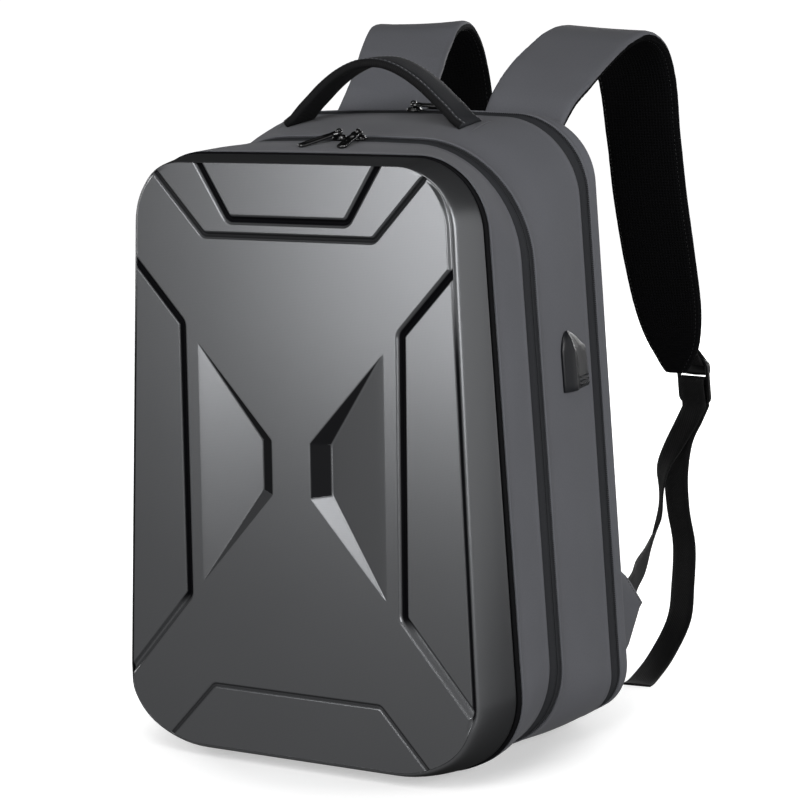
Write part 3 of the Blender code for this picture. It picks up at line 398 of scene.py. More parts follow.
def mesh_material(name, colour, sizes, shine):
    """Knitted spacer mesh: rounded cells over a dark foam."""
    material, tree = start_material(name)
    metres = add_node(tree, "ShaderNodeUVMap", uv_map="metres")
    cells = add_node(
        tree, "ShaderNodeTexVoronoi", {"Vector": metres, "Scale": 1 / sizes.mesh_gap, "Randomness": 0.0}
    )
    walls = add_node(tree, "ShaderNodeMapRange", {"Value": cells, "From Min": 0.2, "From Max": 0.5})
    normal = add_node(tree, "ShaderNodeBump", {"Height": walls, "Distance": 0.0005, "Strength": 0.9})
    end_material(tree, tinted(tree, walls, colour, 0.35, 1.6), 0.9, normal, Specular_IOR_Level=shine)
    return material


def webbing_material(colours, sizes):
    """Flat polypropylene webbing: ribs along it crossed by a fine herringbone."""
    material, tree = start_material("polypropylene_webbing")
    metres = add_node(tree, "ShaderNodeUVMap", uv_map="metres")
    ribs = turned_weave(tree, metres, sizes.rib_gap, 35)
    normal = add_node(tree, "ShaderNodeBump", {"Height": ribs, "Distance": 0.0003, "Strength": 0.8})
    end_material(tree, tinted(tree, ribs, colours.webbing, 0.6, 1.5), 0.7, normal, Specular_IOR_Level=0.25)
    return material


def handle_material(colours, sizes):
    """Tightly woven handle cover: dark and smooth, with a faint twill."""
    material, tree = start_material("handle_twill")
    metres = add_node(tree, "ShaderNodeUVMap", uv_map="metres")
    threads = turned_weave(tree, metres, sizes.thread_gap, 45)
    normal = add_node(tree, "ShaderNodeBump", {"Height": threads, "Distance": 0.00008, "Strength": 0.6})
    end_material(tree, tinted(tree, threads, colours.handle, 0.85, 1.15), 0.7, normal, Specular_IOR_Level=0.3)
    return material


def binding_material(colours, sizes):
    """Grosgrain binding tape: ribs across it."""
    material, tree = start_material("grosgrain_binding")
    metres = add_node(tree, "ShaderNodeUVMap", uv_map="metres")
    ribs = weave(tree, metres, sizes.rib_gap, "X")
    normal = add_node(tree, "ShaderNodeBump", {"Height": ribs, "Distance": 0.0003, "Strength": 0.9})
    end_material(tree, tinted(tree, ribs, colours.webbing, 0.4, 2.4), 0.8, normal, Specular_IOR_Level=0.2)
    return material


def plastic_material(name, colour, low, high, gloss):
    """Injection moulded nylon or ABS, or extruded PVC: a fine grain, a little uneven in its gloss."""
    material, tree = start_material(name)
    place = add_node(tree, "ShaderNodeTexCoord").outputs["Object"]
    grain = add_node(tree, "ShaderNodeTexNoise", {"Vector": place, "Scale": 2600.0, "Detail": 2.0})
    flow = add_node(tree, "ShaderNodeTexNoise", {"Vector": place, "Scale": 60.0, "Detail": 3.0})
    rough = add_node(tree, "ShaderNodeMapRange", {"Value": flow, "To Min": low, "To Max": high})
    normal = add_node(tree, "ShaderNodeBump", {"Height": grain, "Distance": 0.00003, "Strength": 0.4})
    end_material(tree, tinted(tree, flow, colour, 0.85, 1.2), rough, normal, Specular_IOR_Level=gloss)
    return material


def metal_material(colours):
    """Zinc die casting under black lacquer: hard glints, with slight handling wear."""
    material, tree = start_material("lacquered_zinc")
    place = add_node(tree, "ShaderNodeTexCoord").outputs["Object"]
    wear = add_node(tree, "ShaderNodeTexNoise", {"Vector": place, "Scale": 240.0, "Detail": 3.0})
    rough = add_node(tree, "ShaderNodeMapRange", {"Value": wear, "To Min": 0.16, "To Max": 0.30})
    normal = add_node(tree, "ShaderNodeBump", {"Height": wear, "Distance": 0.00004, "Strength": 0.3})
    end_material(
        tree, tinted(tree, wear, colours.metal, 0.8, 1.5), rough, normal, Coat_Weight=0.6, Coat_Roughness=0.12
    )
    return material


def thread_material(name, colour):
    """Bonded polyester thread: two plies that catch the light."""
    material, tree = start_material(name)
    place = add_node(tree, "ShaderNodeTexCoord").outputs["Object"]
    plies = add_node(tree, "ShaderNodeTexNoise", {"Vector": place, "Scale": 1500.0, "Detail": 1.0})
    normal = add_node(tree, "ShaderNodeBump", {"Height": plies, "Distance": 0.0001, "Strength": 0.5})
    end_material(tree, tinted(tree, plies, colour, 0.8, 1.2), 0.5, normal)
    return material


def floor_material():
    """White board with a painted glow instead of light from below: weaker near the bag, a painted shadow round its
    foot added to the lamps' soft shadow, and full further out, so that it stays white to its far edge.
    """
    material, tree = start_material("glowing_white_board")
    place = add_node(tree, "ShaderNodeTexCoord").outputs["Object"]
    mottle = add_node(tree, "ShaderNodeTexNoise", {"Vector": place, "Scale": 3.0, "Detail": 3.0})
    reach = add_node(tree, "ShaderNodeVectorMath", {0: place}, operation="LENGTH").outputs["Value"]
    # Painted glow: weaker within 0.29 m of the middle, a painted shadow round the bag's foot
    glow_by_reach = {"Value": reach, "From Min": 0.13, "From Max": 0.29, "To Min": 0.42, "To Max": 1.05}
    end_material(
        tree, tinted(tree, mottle, (0.6, 0.6, 0.6), 0.995, 1.0), 0.9, Emission_Color=(1.0, 1.0, 1.0, 1.0),
        Emission_Strength=add_node(tree, "ShaderNodeMapRange", glow_by_reach)
    )
    return material


def materials():
    """Every finish by its short name, made once."""
    colours, sizes = bpy.context.scene.bag_colours, bpy.context.scene.bag_sizes
    if not FINISHES:
        FINISHES.update(
            shell=shell_material(colours),
            fabric=fabric_material(colours, sizes),
            tape=tape_material(colours, sizes),
            piping=plastic_material("pvc_piping", colours.piping, 0.6, 0.75, 0.08),
            mesh=mesh_material("spacer_mesh", colours.mesh, sizes, 0.08),
            back_mesh=mesh_material("back_mesh", colours.back_mesh, sizes, 0.3),
            webbing=webbing_material(colours, sizes),
            binding=binding_material(colours, sizes),
            plastic=plastic_material("moulded_nylon", colours.plastic, 0.24, 0.38, 0.5),
            port=plastic_material("satin_abs", colours.port, 0.30, 0.40, 0.22),
            metal=metal_material(colours),
            thread=thread_material("grey_thread", colours.thread),
            handle=handle_material(colours, sizes),
            dark_thread=thread_material("dark_thread", colours.webbing),
        )
    return FINISHES


PRINT_GAP = 0.0011  # the shell's woven print, drawn coarser than the real 0.5 mm
FINISHES = {}


# ---------------------------------------------------------------- making meshes

def place(x, depth, z):
    """A point of the bag from its x, its depth behind the shell's foot and its height."""
    return Vector((x, depth - ORIGIN_DEPTH, z))


def mesh_piece(name, points, faces, finishes, uvs=None, slots=None):
    """A mesh object at the origin, smooth, with its finishes and its UV map in metres."""
    mesh = bpy.data.meshes.new(name)
    mesh.from_pydata([tuple(p) for p in points], [], faces)
    for finish in finishes:
        mesh.materials.append(finish)
    mesh.polygons.foreach_set("use_smooth", [True] * len(faces))
    if slots is not None:
        mesh.polygons.foreach_set("material_index", slots)
    if uvs is not None:
        layer = mesh.uv_layers.new(name="metres")
        layer.data.foreach_set("uv", np.array(uvs, np.float32).ravel())
    mesh.update()
    made = bpy.data.objects.new(name, mesh)
    bpy.context.scene.collection.objects.link(made)
    return made


def loft(name, rows, finishes, closed=False, column_slots=None):
    """A surface round rows of points, capped unless it closes on itself. UVs are metres along and round it."""
    grid = np.array([[tuple(p) for p in row] for row in rows])
    count, width = grid.shape[:2]
    along = np.linalg.norm(np.diff(grid, axis=0, append=grid[:1]), axis=2).mean(axis=1)
    across = np.linalg.norm(np.diff(grid, axis=1, append=grid[:, :1]), axis=2).mean(axis=0)
    u, v = np.concatenate(([0.0], np.cumsum(along))), np.concatenate(([0.0], np.cumsum(across)))
    faces, uvs, slots = [], [], []
    for r in range(count if closed else count - 1):
        for c in range(width):
            r2, c2 = (r + 1) % count, (c + 1) % width
            faces.append((r * width + c, r * width + c2, r2 * width + c2, r2 * width + c))
            uvs += [(u[r], v[c]), (u[r], v[c + 1]), (u[r + 1], v[c + 1]), (u[r + 1], v[c])]
            slots.append(column_slots[c] if column_slots else 0)
    if not closed:
        for first, turn in ((0, -1), ((count - 1) * width, 1)):
            cap = list(range(first, first + width))[::turn]
            faces.append(tuple(cap))
            uvs += [(0.0, v[i % width]) for i in cap]
            slots.append(slots[0])
    made = mesh_piece(name, grid.reshape(-1, 3), faces, finishes, uvs, slots)
    face_out(made)
    return made


def face_out(made):
    """Turns a closed piece's faces outwards."""
    mesh = bmesh.new()
    mesh.from_mesh(made.data)
    bmesh.ops.recalc_face_normals(mesh, faces=mesh.faces)
    mesh.to_mesh(made.data)
    mesh.free()


def apply_modifiers(made):
    """The evaluated shape becomes the piece's own mesh."""
    shaped = bpy.data.meshes.new_from_object(made.evaluated_get(bpy.context.evaluated_depsgraph_get()))
    made.modifiers.clear()
    made.data = shaped


def bevelled(made, width, segments, degrees):
    """Rounds the edges that are sharper than an angle."""
    modifier = made.modifiers.new("Bevel", "BEVEL")
    modifier.width, modifier.segments = width, segments
    modifier.limit_method, modifier.angle_limit = "ANGLE", math.radians(degrees)
    apply_modifiers(made)
    smooth_by_angle(made, 50)


def smooth_by_angle(made, degrees):
    """Edges sharper than an angle stay crisp."""
    mesh = bmesh.new()
    mesh.from_mesh(made.data)
    for edge in mesh.edges:
        if len(edge.link_faces) == 2:
            edge.smooth = edge.calc_face_angle(0.0) < math.radians(degrees)
    for face in mesh.faces:
        face.smooth = True
    mesh.to_mesh(made.data)
    mesh.free()


def cut_away(made, other):
    """Takes one solid out of another."""
    modifier = made.modifiers.new("Cut", "BOOLEAN")
    modifier.object, modifier.operation, modifier.solver = other, "DIFFERENCE", "EXACT"
    apply_modifiers(made)
    bpy.data.objects.remove(other)


def mirrored(rows, side):
    """Rows of the right side's points or directions, turned over to the left where side is -1."""
    return [[Vector((side * p.x, p.y, p.z)) for p in row] for row in rows]


def ready(made, body=BAG, replaced=()):
    """The piece rides on its body and stands for the solids it dresses."""
    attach(made, body)
    if replaced:
        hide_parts(*replaced)


def smooth_path(rows, steps):
    """Rows of numbers with steps - 1 more between each two, along a Catmull-Rom curve."""
    rows = np.array(rows, float)
    path = []
    for i in range(len(rows) - 1):
        a, b, c, d = (rows[min(max(i + k, 0), len(rows) - 1)] for k in (-1, 0, 1, 2))
        for s in range(steps):
            t = s / steps
            near = a * (-t + 2 * t * t - t**3) + b * (2 - 5 * t * t + 3 * t**3)
            path.append((near + c * (t + 4 * t * t - 3 * t**3) + d * (-t * t + t**3)) / 2)
    return [tuple(map(float, row)) for row in path + [rows[-1]]]


# ---------------------------------------------------------------- the bag's outline

def half_width(z, swell=0.0):
    """Half the bag's width at a level."""
    return HALF_WIDTH_FOOT - SIDE_TAPER * z + swell


def outline_sizes(depth):
    """The outline's sizes at a depth: a smooth curve through the rows of OUTLINES."""
    depths = OUTLINES[:, 0]
    i = int(np.clip(np.searchsorted(depths, depth) - 1, 0, len(depths) - 2))
    slopes = np.diff(OUTLINES, axis=0) / np.diff(depths)[:, None]

    def tangent(k):
        before, after = slopes[max(k - 1, 0)], slopes[min(k, len(slopes) - 1)]
        return np.where(before * after > 0, 2 * before * after / (before + after + 1e-12), 0.0)

    span = depths[i + 1] - depths[i]
    t = (depth - depths[i]) / span
    row = OUTLINES[i] * (2 * t**3 - 3 * t * t + 1) + OUTLINES[i + 1] * (3 * t * t - 2 * t**3)
    row += span * (tangent(i) * (t**3 - 2 * t * t + t) + tangent(i + 1) * (t**3 - t * t))
    return dict(zip(OUTLINE_COLUMNS, map(float, row)))


def spaced(start, end, steps):
    """Points from start up to but not including end."""
    return [start.lerp(end, i / steps) for i in range(steps)]


def arc_points(centre, radius, start, end, steps):
    angles = [start + (end - start) * i / steps for i in range(steps + 1)]
    return [centre + radius * Vector((math.cos(a), math.sin(a))) for a in angles]


def offset_loop(loop, distance):
    """A closed anticlockwise loop moved outwards by a distance."""
    moved = []
    for i, point in enumerate(loop):
        before = (point - loop[i - 1]).normalized()
        after = (loop[(i + 1) % len(loop)] - point).normalized()
        along = (before + after).normalized()
        moved.append(point + distance * Vector((along.y, -along.x)))
    return moved


def bag_outline(depth, inset=0.0):
    """The bag's outline at a depth: a closed anticlockwise loop of (x, z) from the middle of the foot."""
    steps = bpy.context.scene.bag_sizes.ring_steps
    row = outline_sizes(depth)
    low, high = row["low"], row["high"]
    wide, narrow = half_width(low, row["swell"]), half_width(high, row["swell"])
    slope = (narrow - wide) / (high - low)
    reach = math.hypot(1.0, slope)
    side_angle = math.atan2(-slope, 1.0)
    level = low + row["foot_corner"] + math.sin(CORNER_JOIN) * (row["foot_corner"] - row["side_corner"])
    top_level = high - row["top_corner"]
    lower = Vector((wide + slope * (level - low) - row["side_corner"] * reach, level))
    upper = Vector((wide + slope * (top_level - low) - row["top_corner"] * reach, top_level))
    towards_join = Vector((math.cos(CORNER_JOIN), math.sin(CORNER_JOIN)))
    wider = lower + towards_join * (row["side_corner"] - row["foot_corner"])
    low_arc = arc_points(wider, row["foot_corner"], -math.pi / 2, CORNER_JOIN, steps // 2)
    low_arc += arc_points(lower, row["side_corner"], CORNER_JOIN, side_angle, steps)[1:]
    top_arc = arc_points(upper, row["top_corner"], side_angle, math.pi / 2, steps)
    foot, top = Vector((0.0, low)), Vector((0.0, high))
    right = spaced(foot, low_arc[0], steps // 2) + low_arc[:-1]
    right += spaced(low_arc[-1], top_arc[0], steps * 2) + top_arc[:-1]
    right += spaced(top_arc[-1], top, steps // 2) + [top]
    for point in right:
        share = max(0.0, (point.y - MIDDLE_LEVEL) / (high - MIDDLE_LEVEL))
        point.y -= row["crown"] * (point.x / narrow) ** 2 * share
    loop = right + [Vector((-p.x, p.y)) for p in reversed(right[1:-1])]
    return offset_loop(loop, -inset)


def ring(depth, lift=0.0):
    """The outline at a depth as points of the bag, moved outwards by a lift but never below its foot."""
    return [place(p.x, depth, max(p.y, 0.0)) for p in bag_outline(depth, -lift)]


# ---------------------------------------------------------------- the moulded shell

def smooth_step(low, high, value):
    share = np.clip((value - low) / (high - low), 0.0, 1.0)
    return share * share * (3 - 2 * share)


def soft_min(a, b, blend):
    share = np.clip(0.5 + 0.5 * (b - a) / blend, 0.0, 1.0)
    return b + (a - b) * share - blend * share * (1 - share)


def soft_max(a, b, blend):
    return -soft_min(-a, -b, blend)


def line_distance(points, line):
    """How far each point is from an open line."""
    nearest = np.full(len(points), np.inf)
    for start, end in zip(line[:-1], line[1:]):
        along = end - start
        share = np.clip((points - start) @ along / (along @ along), 0.0, 1.0)
        nearest = np.minimum(nearest, np.linalg.norm(points - start - share[:, None] * along, axis=1))
    return nearest


def rounded_line(corners, radius, step=0.004):
    """A line through corners, each turned with a radius, with points no further apart than a step."""
    corners = [np.array(c, float) for c in corners]
    line = [corners[0]]
    for before, corner, after in zip(corners, corners[1:], corners[2:]):
        back, ahead = before - corner, after - corner
        back, ahead = back / np.linalg.norm(back), ahead / np.linalg.norm(ahead)
        half = math.acos(np.clip(-back @ ahead, -1.0, 1.0)) / 2
        reach = radius * math.tan(half)
        first, last = corner + back * reach, corner + ahead * reach
        middle = (back + ahead) / np.linalg.norm(back + ahead)
        centre = corner + middle * radius / math.cos(half)
        for i in range(7):
            spot = first + (last - first) * i / 6 - centre
            line.append(centre + spot * radius / np.linalg.norm(spot))
    line.append(corners[-1])
    fine = [line[0]]
    for start, end in zip(line[:-1], line[1:]):
        steps = max(1, int(math.ceil(np.linalg.norm(end - start) / step)))
        fine += [start + (end - start) * i / steps for i in range(1, steps + 1)]
    return np.array(fine)


def offset_line(line, distance):
    """An open line moved to its right by a distance."""
    along = np.gradient(line, axis=0)
    along /= np.linalg.norm(along, axis=1)[:, None]
    return line + distance * np.stack([along[:, 1], -along[:, 0]], axis=1)


class PressedFace:
    """The moulded face: how far each place is pressed in, and the lines its mesh follows."""

    def __init__(self, soft):
        self.soft = soft
        self.grooves = []
        for corners, width, depth, across, painted_shade in GROOVES:
            right = [tuple(c) for c in corners]
            left = [(-x, z) for x, z in reversed(right)]
            for chain in ([left + right] if across else [left, right]):
                self.grooves.append((rounded_line(chain, GROOVE_TURN), width, depth, painted_shade))
        self.side_line = rounded_line(GROOVES[SIDE_GROOVE][0], GROOVE_TURN)
        self.plateau = np.array([tuple(p) for p in shell_ring(PLATEAU_INSET)])

    def edge_distance(self, points):
        """How far inside the plateau's outline each place is."""
        loop = np.vstack([self.plateau, self.plateau[:1]])
        return line_distance(points, loop)

    def facet(self, points):
        """How far the sunk facets press in each place, and how much it lies on their upper walls, which take painted
        shade.
        """
        x, z = np.abs(points[:, 0]), points[:, 1]

        def beside(outer, inner, across, level):
            along = np.array(inner) - np.array(outer)
            along /= np.linalg.norm(along)
            return along[0] * (level - outer[1]) - along[1] * (across - outer[0])

        def wall(outer, inner, corner):
            return FACET_DEPTH * (beside(outer, inner, x, z) / beside(outer, inner, *corner))

        plane = FACET_DEPTH * (FACET_OUTER - x) / (FACET_OUTER - FLOOR_INNER)
        upright = FACET_DEPTH * (x - FACET_INNER) / (FLOOR_INNER - FACET_INNER)
        high = wall((FACET_OUTER, FACET_TOP), (FACET_INNER, SHOULDER_HIGH), (FLOOR_INNER, FLOOR_HIGH))
        low = wall((FACET_OUTER, FACET_FOOT), (FACET_INNER, SHOULDER_LOW), (FLOOR_INNER, FLOOR_LOW))
        walls = soft_min(soft_min(high, low, self.soft), upright, self.soft)
        pressed = soft_max(soft_min(plane, walls, self.soft), np.zeros(len(points)), self.soft * 0.6)
        pressed -= self.soft * 0.15
        steep = np.minimum(high, upright)
        shaded = smooth_step(0.0, 0.0008, plane - steep) * smooth_step(0.0, 0.0006, np.minimum(steep, low))
        return pressed, shaded * (steep < low)

    def shape(self, points):
        """How far in each place lies, and how much painted shade darkens it."""
        near_edge = (1 - smooth_step(0.0, PLATEAU_STEP, self.edge_distance(points))) * step_share(points[:, 1])
        depth = STEP_DEPTH * near_edge
        # Painted shade in the valley at the step's foot, fading out towards the top
        painted_shade = smooth_step(0.35, 0.9, near_edge) * step_shade_by_level(points[:, 1])
        x = np.abs(points[:, 0])
        edge_x = np.interp(points[:, 1], self.side_line[::-1, 1], self.side_line[::-1, 0], left=9.0, right=9.0)
        depth = np.maximum(depth, SIDE_PANEL_DEPTH * (x > edge_x))
        for line, width, pressed, dark in self.grooves:
            share = np.clip(line_distance(points, line) / (width / 2 + GROOVE_MARGIN), 0.0, 1.0)
            round_floor = 0.5 + 0.5 * np.cos(math.pi * share)
            depth = np.maximum(depth, pressed * round_floor)
            # Painted shade on each groove's floor, lifted in part from the deep lines low on the face
            unshaded = LOW_UNSHADED * (1 - smooth_step(*LOW_UNSHADED_LEVELS, points[:, 1])) * (pressed > DEEP_GROOVE)
            painted_shade = np.maximum(painted_shade, dark * (1 - unshaded) * smooth_step(0.15, 0.55, round_floor))
        pressed, shaded = self.facet(points)
        return np.maximum(depth, pressed), np.maximum(painted_shade, FACET_PAINTED_SHADE * shaded)

    def normals(self, points):
        """The face's direction at each place, from how its depth changes."""
        step = 0.00012

        def reach(spots):
            return shell_depth(self.shape(spots)[0], spots[:, 1])

        dx = (reach(points + (step, 0)) - reach(points - (step, 0))) / (2 * step)
        dz = (reach(points + (0, step)) - reach(points - (0, step))) / (2 * step)
        away = np.stack([dx, -np.ones(len(points)), dz], axis=1)
        return away / np.linalg.norm(away, axis=1)[:, None]

    def lines(self):
        """The lines that the mesh follows: beside each groove, round each facet and along the rim."""
        lines = []
        for line, width, *_ in self.grooves:
            reach = width / 2 + GROOVE_MARGIN
            for share in GROOVE_LINES:
                lines += [offset_line(line, reach * share), offset_line(line, -reach * share)]
            lines.append(line)
        top, foot = (FACET_OUTER, FACET_TOP), (FACET_OUTER, FACET_FOOT)
        high, low = (FACET_INNER, SHOULDER_HIGH), (FACET_INNER, SHOULDER_LOW)
        floor_high, floor_low = (FLOOR_INNER, FLOOR_HIGH), (FLOOR_INNER, FLOOR_LOW)
        folds = ((top, high, low, foot, top), (top, floor_high, floor_low, foot), (high, floor_high), (low, floor_low))
        for side in (1, -1):
            for chain in folds:
                corners = np.array([(side * x, z) for x, z in chain])
                for start, end in zip(corners[:-1], corners[1:]):
                    line = rounded_line([start, end], 0.001, 0.003)
                    lines += [offset_line(line, away) for away in FOLD_LINES]
        return lines


def inside_loop(points, loop):
    """Whether each place lies inside a closed loop."""
    crossings = np.zeros(len(points), int)
    for (ax, az), (bx, bz) in zip(loop, np.roll(loop, -1, axis=0)):
        cross = (az > points[:, 1]) != (bz > points[:, 1])
        with np.errstate(divide="ignore", invalid="ignore"):
            crossings += cross & (points[:, 0] < ax + (bx - ax) * (points[:, 1] - az) / (bz - az))
    return crossings % 2 == 1


# The mesh's lines beside a groove, as shares of its reach, and beside a facet's fold, in metres
GROOVE_LINES = (1.08, 1.0, 0.92, 0.82, 0.72, 0.6, 0.48, 0.36, 0.2)
FOLD_LINES = (-0.0016, -0.0011, -0.0007, -0.0003, 0.0, 0.0003, 0.0007, 0.0011, 0.0016)

# How much of the painted shade is lifted from the deep lines low on the face, and how dark the painted shade on the
# facets' upper walls is
LOW_UNSHADED, LOW_UNSHADED_LEVELS, DEEP_GROOVE, FACET_PAINTED_SHADE = 0.75, (0.112, 0.126), 0.004, 0.96

RIM_DEPTH = 0.0360
PLATEAU_INSET, PLATEAU_STEP, STEP_DEPTH = 0.0118, 0.0026, 0.0032
STEP_LINES, STEP_LINE_GAP, FACE_GRID = 10, 0.00033, 0.008

# The shell beyond the face's border: inset from the rim, depth behind the face and painted shade in the valley beside
# the step
SHELL_EDGE = (
    (0.0116, 0.0032, 1.0), (0.0111, 0.0034, 1.0), (0.0105, 0.0036, 0.9), (0.0100, 0.0038, 0.1), (0.0093, 0.0044, 0.0),
    (0.0085, 0.0054, 0.0), (0.0074, 0.0074, 0.0), (0.0061, 0.0104, 0.0), (0.0048, 0.0140, 0.0), (0.0034, 0.0185, 0.0),
    (0.0021, 0.0235, 0.0), (0.0010, 0.0285, 0.0), (0.0003, 0.0335, 0.0), (0.0001, 0.0350, 0.0),
    (0.0004, 0.0357, 0.0), (0.0011, 0.0360, 0.0),
)
SHELL_BACK = (
    (0.0034, 0.0360, 0.0), (0.0036, 0.0300, 0.0), (0.0050, 0.0200, 0.0), (0.0080, 0.0150, 0.0), (0.0140, 0.0140, 0.0)
)


def shell_ring(inset):
    """The shell's outline inset from its rim; the insets shrink along the top, where its edge is nearly sharp."""
    loop = bag_outline(SHELL_RIM, inset)
    for p in loop:
        p.y += 0.66 * inset * float(smooth_step(0.36, 0.44, p.y))
    return loop


def step_share(z):
    """The step round the plateau runs up both sides; it dies out below the lowest slanted lines and along the top."""
    return smooth_step(0.046, 0.064, z) * (1 - smooth_step(0.430, 0.447, z))


def step_shade_by_level(z):
    """How much painted shade the step's foot takes at a level: all of it low down, none towards the top corners."""
    return 1 - smooth_step(0.31, 0.39, z)


def add_shell():
    """The pressed face follows its own lines; rings carry it round the edge to the rim and back inside."""
    sizes = bpy.context.scene.bag_sizes
    face = PressedFace(sizes.edge_round)
    border = [tuple(p) for p in shell_ring(SHELL_EDGE[0][0])]
    plateau = shell_ring(PLATEAU_INSET)
    loops = [border]
    loops += [[tuple(p) for p in offset_loop(plateau, -STEP_LINE_GAP * i)] for i in range(STEP_LINES)]
    chains = [np.array(loop + loop[:1]) for loop in loops] + face.lines()
    flat, edges = [], []
    for chain in chains:
        start = len(flat)
        flat += [Vector(p) for p in chain]
        edges += [(start + i, start + i + 1) for i in range(len(chain) - 1)]
    reach, levels = np.arange(-0.16, 0.161, FACE_GRID), np.arange(0.005, 0.45, FACE_GRID)
    flat += [Vector((x, z)) for x in reach for z in levels]
    flat, _, triangles, *_ = delaunay_2d_cdt(flat, edges, [], 0, 2e-6)
    spots = np.array([tuple(p) for p in flat])
    triangles = np.array(triangles)
    inside = inside_loop(spots[triangles].mean(axis=1), np.array(border))
    used, triangles = np.unique(triangles[inside], return_inverse=True)
    spots = spots[used]
    depths, painted_shade = face.shape(spots)
    points = [shell_place(x, d, z) for (x, z), d in zip(spots, depths)]
    normals = [tuple(n) for n in face.normals(spots)]
    faces = [tuple(int(i) for i in t) for t in triangles.reshape(-1, 3)]
    rim = [nearest_of(spots, b) for b in border]
    rings, painted_shade = [rim], list(painted_shade)
    for inset, depth, dark in SHELL_EDGE[1:] + SHELL_BACK:
        rings.append(range(len(points), len(points) + len(border)))
        for p in shell_ring(inset):
            share = float(step_share(p.y))
            lift = STEP_DEPTH * (1 - share) * float(smooth_step(0.002, PLATEAU_INSET, inset))
            points.append(shell_place(p.x, depth - (lift if inset < PLATEAU_INSET else 0.0), p.y))
            # Painted shade in the valley beside the step, from SHELL_EDGE's last column, only where the step runs and
            # fading towards the top
            painted_shade.append(dark * share * float(step_shade_by_level(p.y)))
    for a, b in zip(rings[:-1], rings[1:]):
        faces += [(a[i], a[(i + 1) % len(border)], b[(i + 1) % len(border)], b[i]) for i in range(len(border))]
    faces.append(tuple(reversed(rings[-1])))
    made = mesh_piece("shell_moulding", points, faces, [materials()["shell"]])
    made.data.validate()
    smooth = [tuple(v.normal) for v in made.data.vertices]
    edge = set(rim)
    for i, normal in enumerate(normals):
        if i not in edge:
            smooth[i] = normal
    made.data.normals_split_custom_set_from_vertices(smooth)
    made.data.attributes.new("painted_shade", "FLOAT", "POINT").data.foreach_set("value", np.array(painted_shade, np.float32))
    ready(made, replaced=("front_shell",))


def shell_depth(depth, z):
    """How deep in the bag a place of the shell lies, by its depth behind the leaning face."""
    lean = FACE_LEAN * z
    return lean + depth + (SHELL_RIM - RIM_DEPTH - lean) * (depth / RIM_DEPTH) ** 2


def shell_place(x, depth, z):
    return place(x, shell_depth(depth, z), z)


def nearest_of(spots, spot):
    return int(np.argmin(np.linalg.norm(spots - np.array(spot), axis=1)))


# ---------------------------------------------------------------- the fabric body

# A hem's stations: how far from the band's edge, and how proud of its cloth
HEM = ((0.0, -0.0012), (0.0, -0.0003), (0.0003, 0.0003), (0.0016, 0.0003), (0.0022, 0.0))
HEM_END = HEM[-1][0]

# A zip's tape near its slit: how far from the slit, and how far above the sunk tape
TAPE_SINK = 0.0011
SLIT_STATIONS = (
    (-0.0022, 0.0001), (-0.0016, 0.0005), (-0.0008, 0.0005), (-0.0004, -0.0002), (0.0, -0.0014),
    (0.0004, -0.0002), (0.0010, 0.0005), (0.0022, 0.0004), (0.0028, 0.0),
)


def add_band(name, node, stations, finish):
    """A band of the wall that runs right round the bag: its outer face by (depth, lift), then its inner face."""
    depths = [d for d, _ in stations]
    rows = [ring(d, lift) for d, lift in stations]
    rows += [ring(d, -FABRIC_WALL) for d in (depths[-1], depths[0])]
    ready(loft(name, rows, [materials()[finish]], closed=True), replaced=(node,))


def hemmed(start, end, steps=8):
    """Stations of a fabric band with a rolled hem at each end."""
    width = end - start - 2 * HEM_END
    stations = [(start + away, lift) for away, lift in HEM]
    stations += [(start + HEM_END + width * i / steps, 0.0) for i in range(1, steps)]
    return stations + [(end - away, lift) for away, lift in reversed(HEM)]


def add_fabric_body():
    """Both gussets, and the rear rim, which has a hem on its front edge only."""
    add_band("gusset_front", "front_gusset", hemmed(FRONT_GUSSET, FRONT_ZIP), "fabric")
    add_band("gusset_middle", "middle_gusset", hemmed(MIDDLE_GUSSET, REAR_ZIP, steps=16), "fabric")
    rim = [(REAR_RIM + away, lift) for away, lift in HEM]
    rim += [(REAR_RIM + HEM_END + (RIM_BACK - REAR_RIM - HEM_END) * i / 8, 0.0) for i in range(1, 9)]
    add_band("rim_rear", "rear_rim", rim, "fabric")


def add_zip(name, node, start, end, slit):
    """Two tapes sunk between the hems: they meet over a coil, in a dark slit beside a low ridge."""
    low = -TAPE_SINK
    stations = [(start, low - 0.0008), (start, low)]
    stations += [(slit + away, low + lift) for away, lift in SLIT_STATIONS]
    stations += [(end - 0.0010, low), (end, low - 0.0003), (end, low - 0.0010)]
    add_band(name, node, stations, "tape")
    lines = [ring_line(slit + 0.0006, low + 0.0002), ring_line(end - 0.0004, low + 0.0004)]
    tooth = (bpy.context.scene.bag_sizes.tooth_gap, 0.0008, 0.0009, 0.0006)
    add_row(name + "_coil", lines, "piping", tooth)


def add_piping():
    rows = []
    for i in range(12):
        angle = 2 * math.pi * i / 12
        rows.append(ring(PIPING_DEPTH + 0.0021 * math.cos(angle), -0.0010 + 0.0017 * math.sin(angle)))
    made = loft("piping_round", rows, [materials()["piping"]], closed=True)
    ready(made, replaced=("piping",))


# ---------------------------------------------------------------- what repeats along a line

ROW_SIZES = ("Spacing", "Length", "Width", "Height")
TACK = (0.0011, 0.0010, 0.0016, 0.0007)


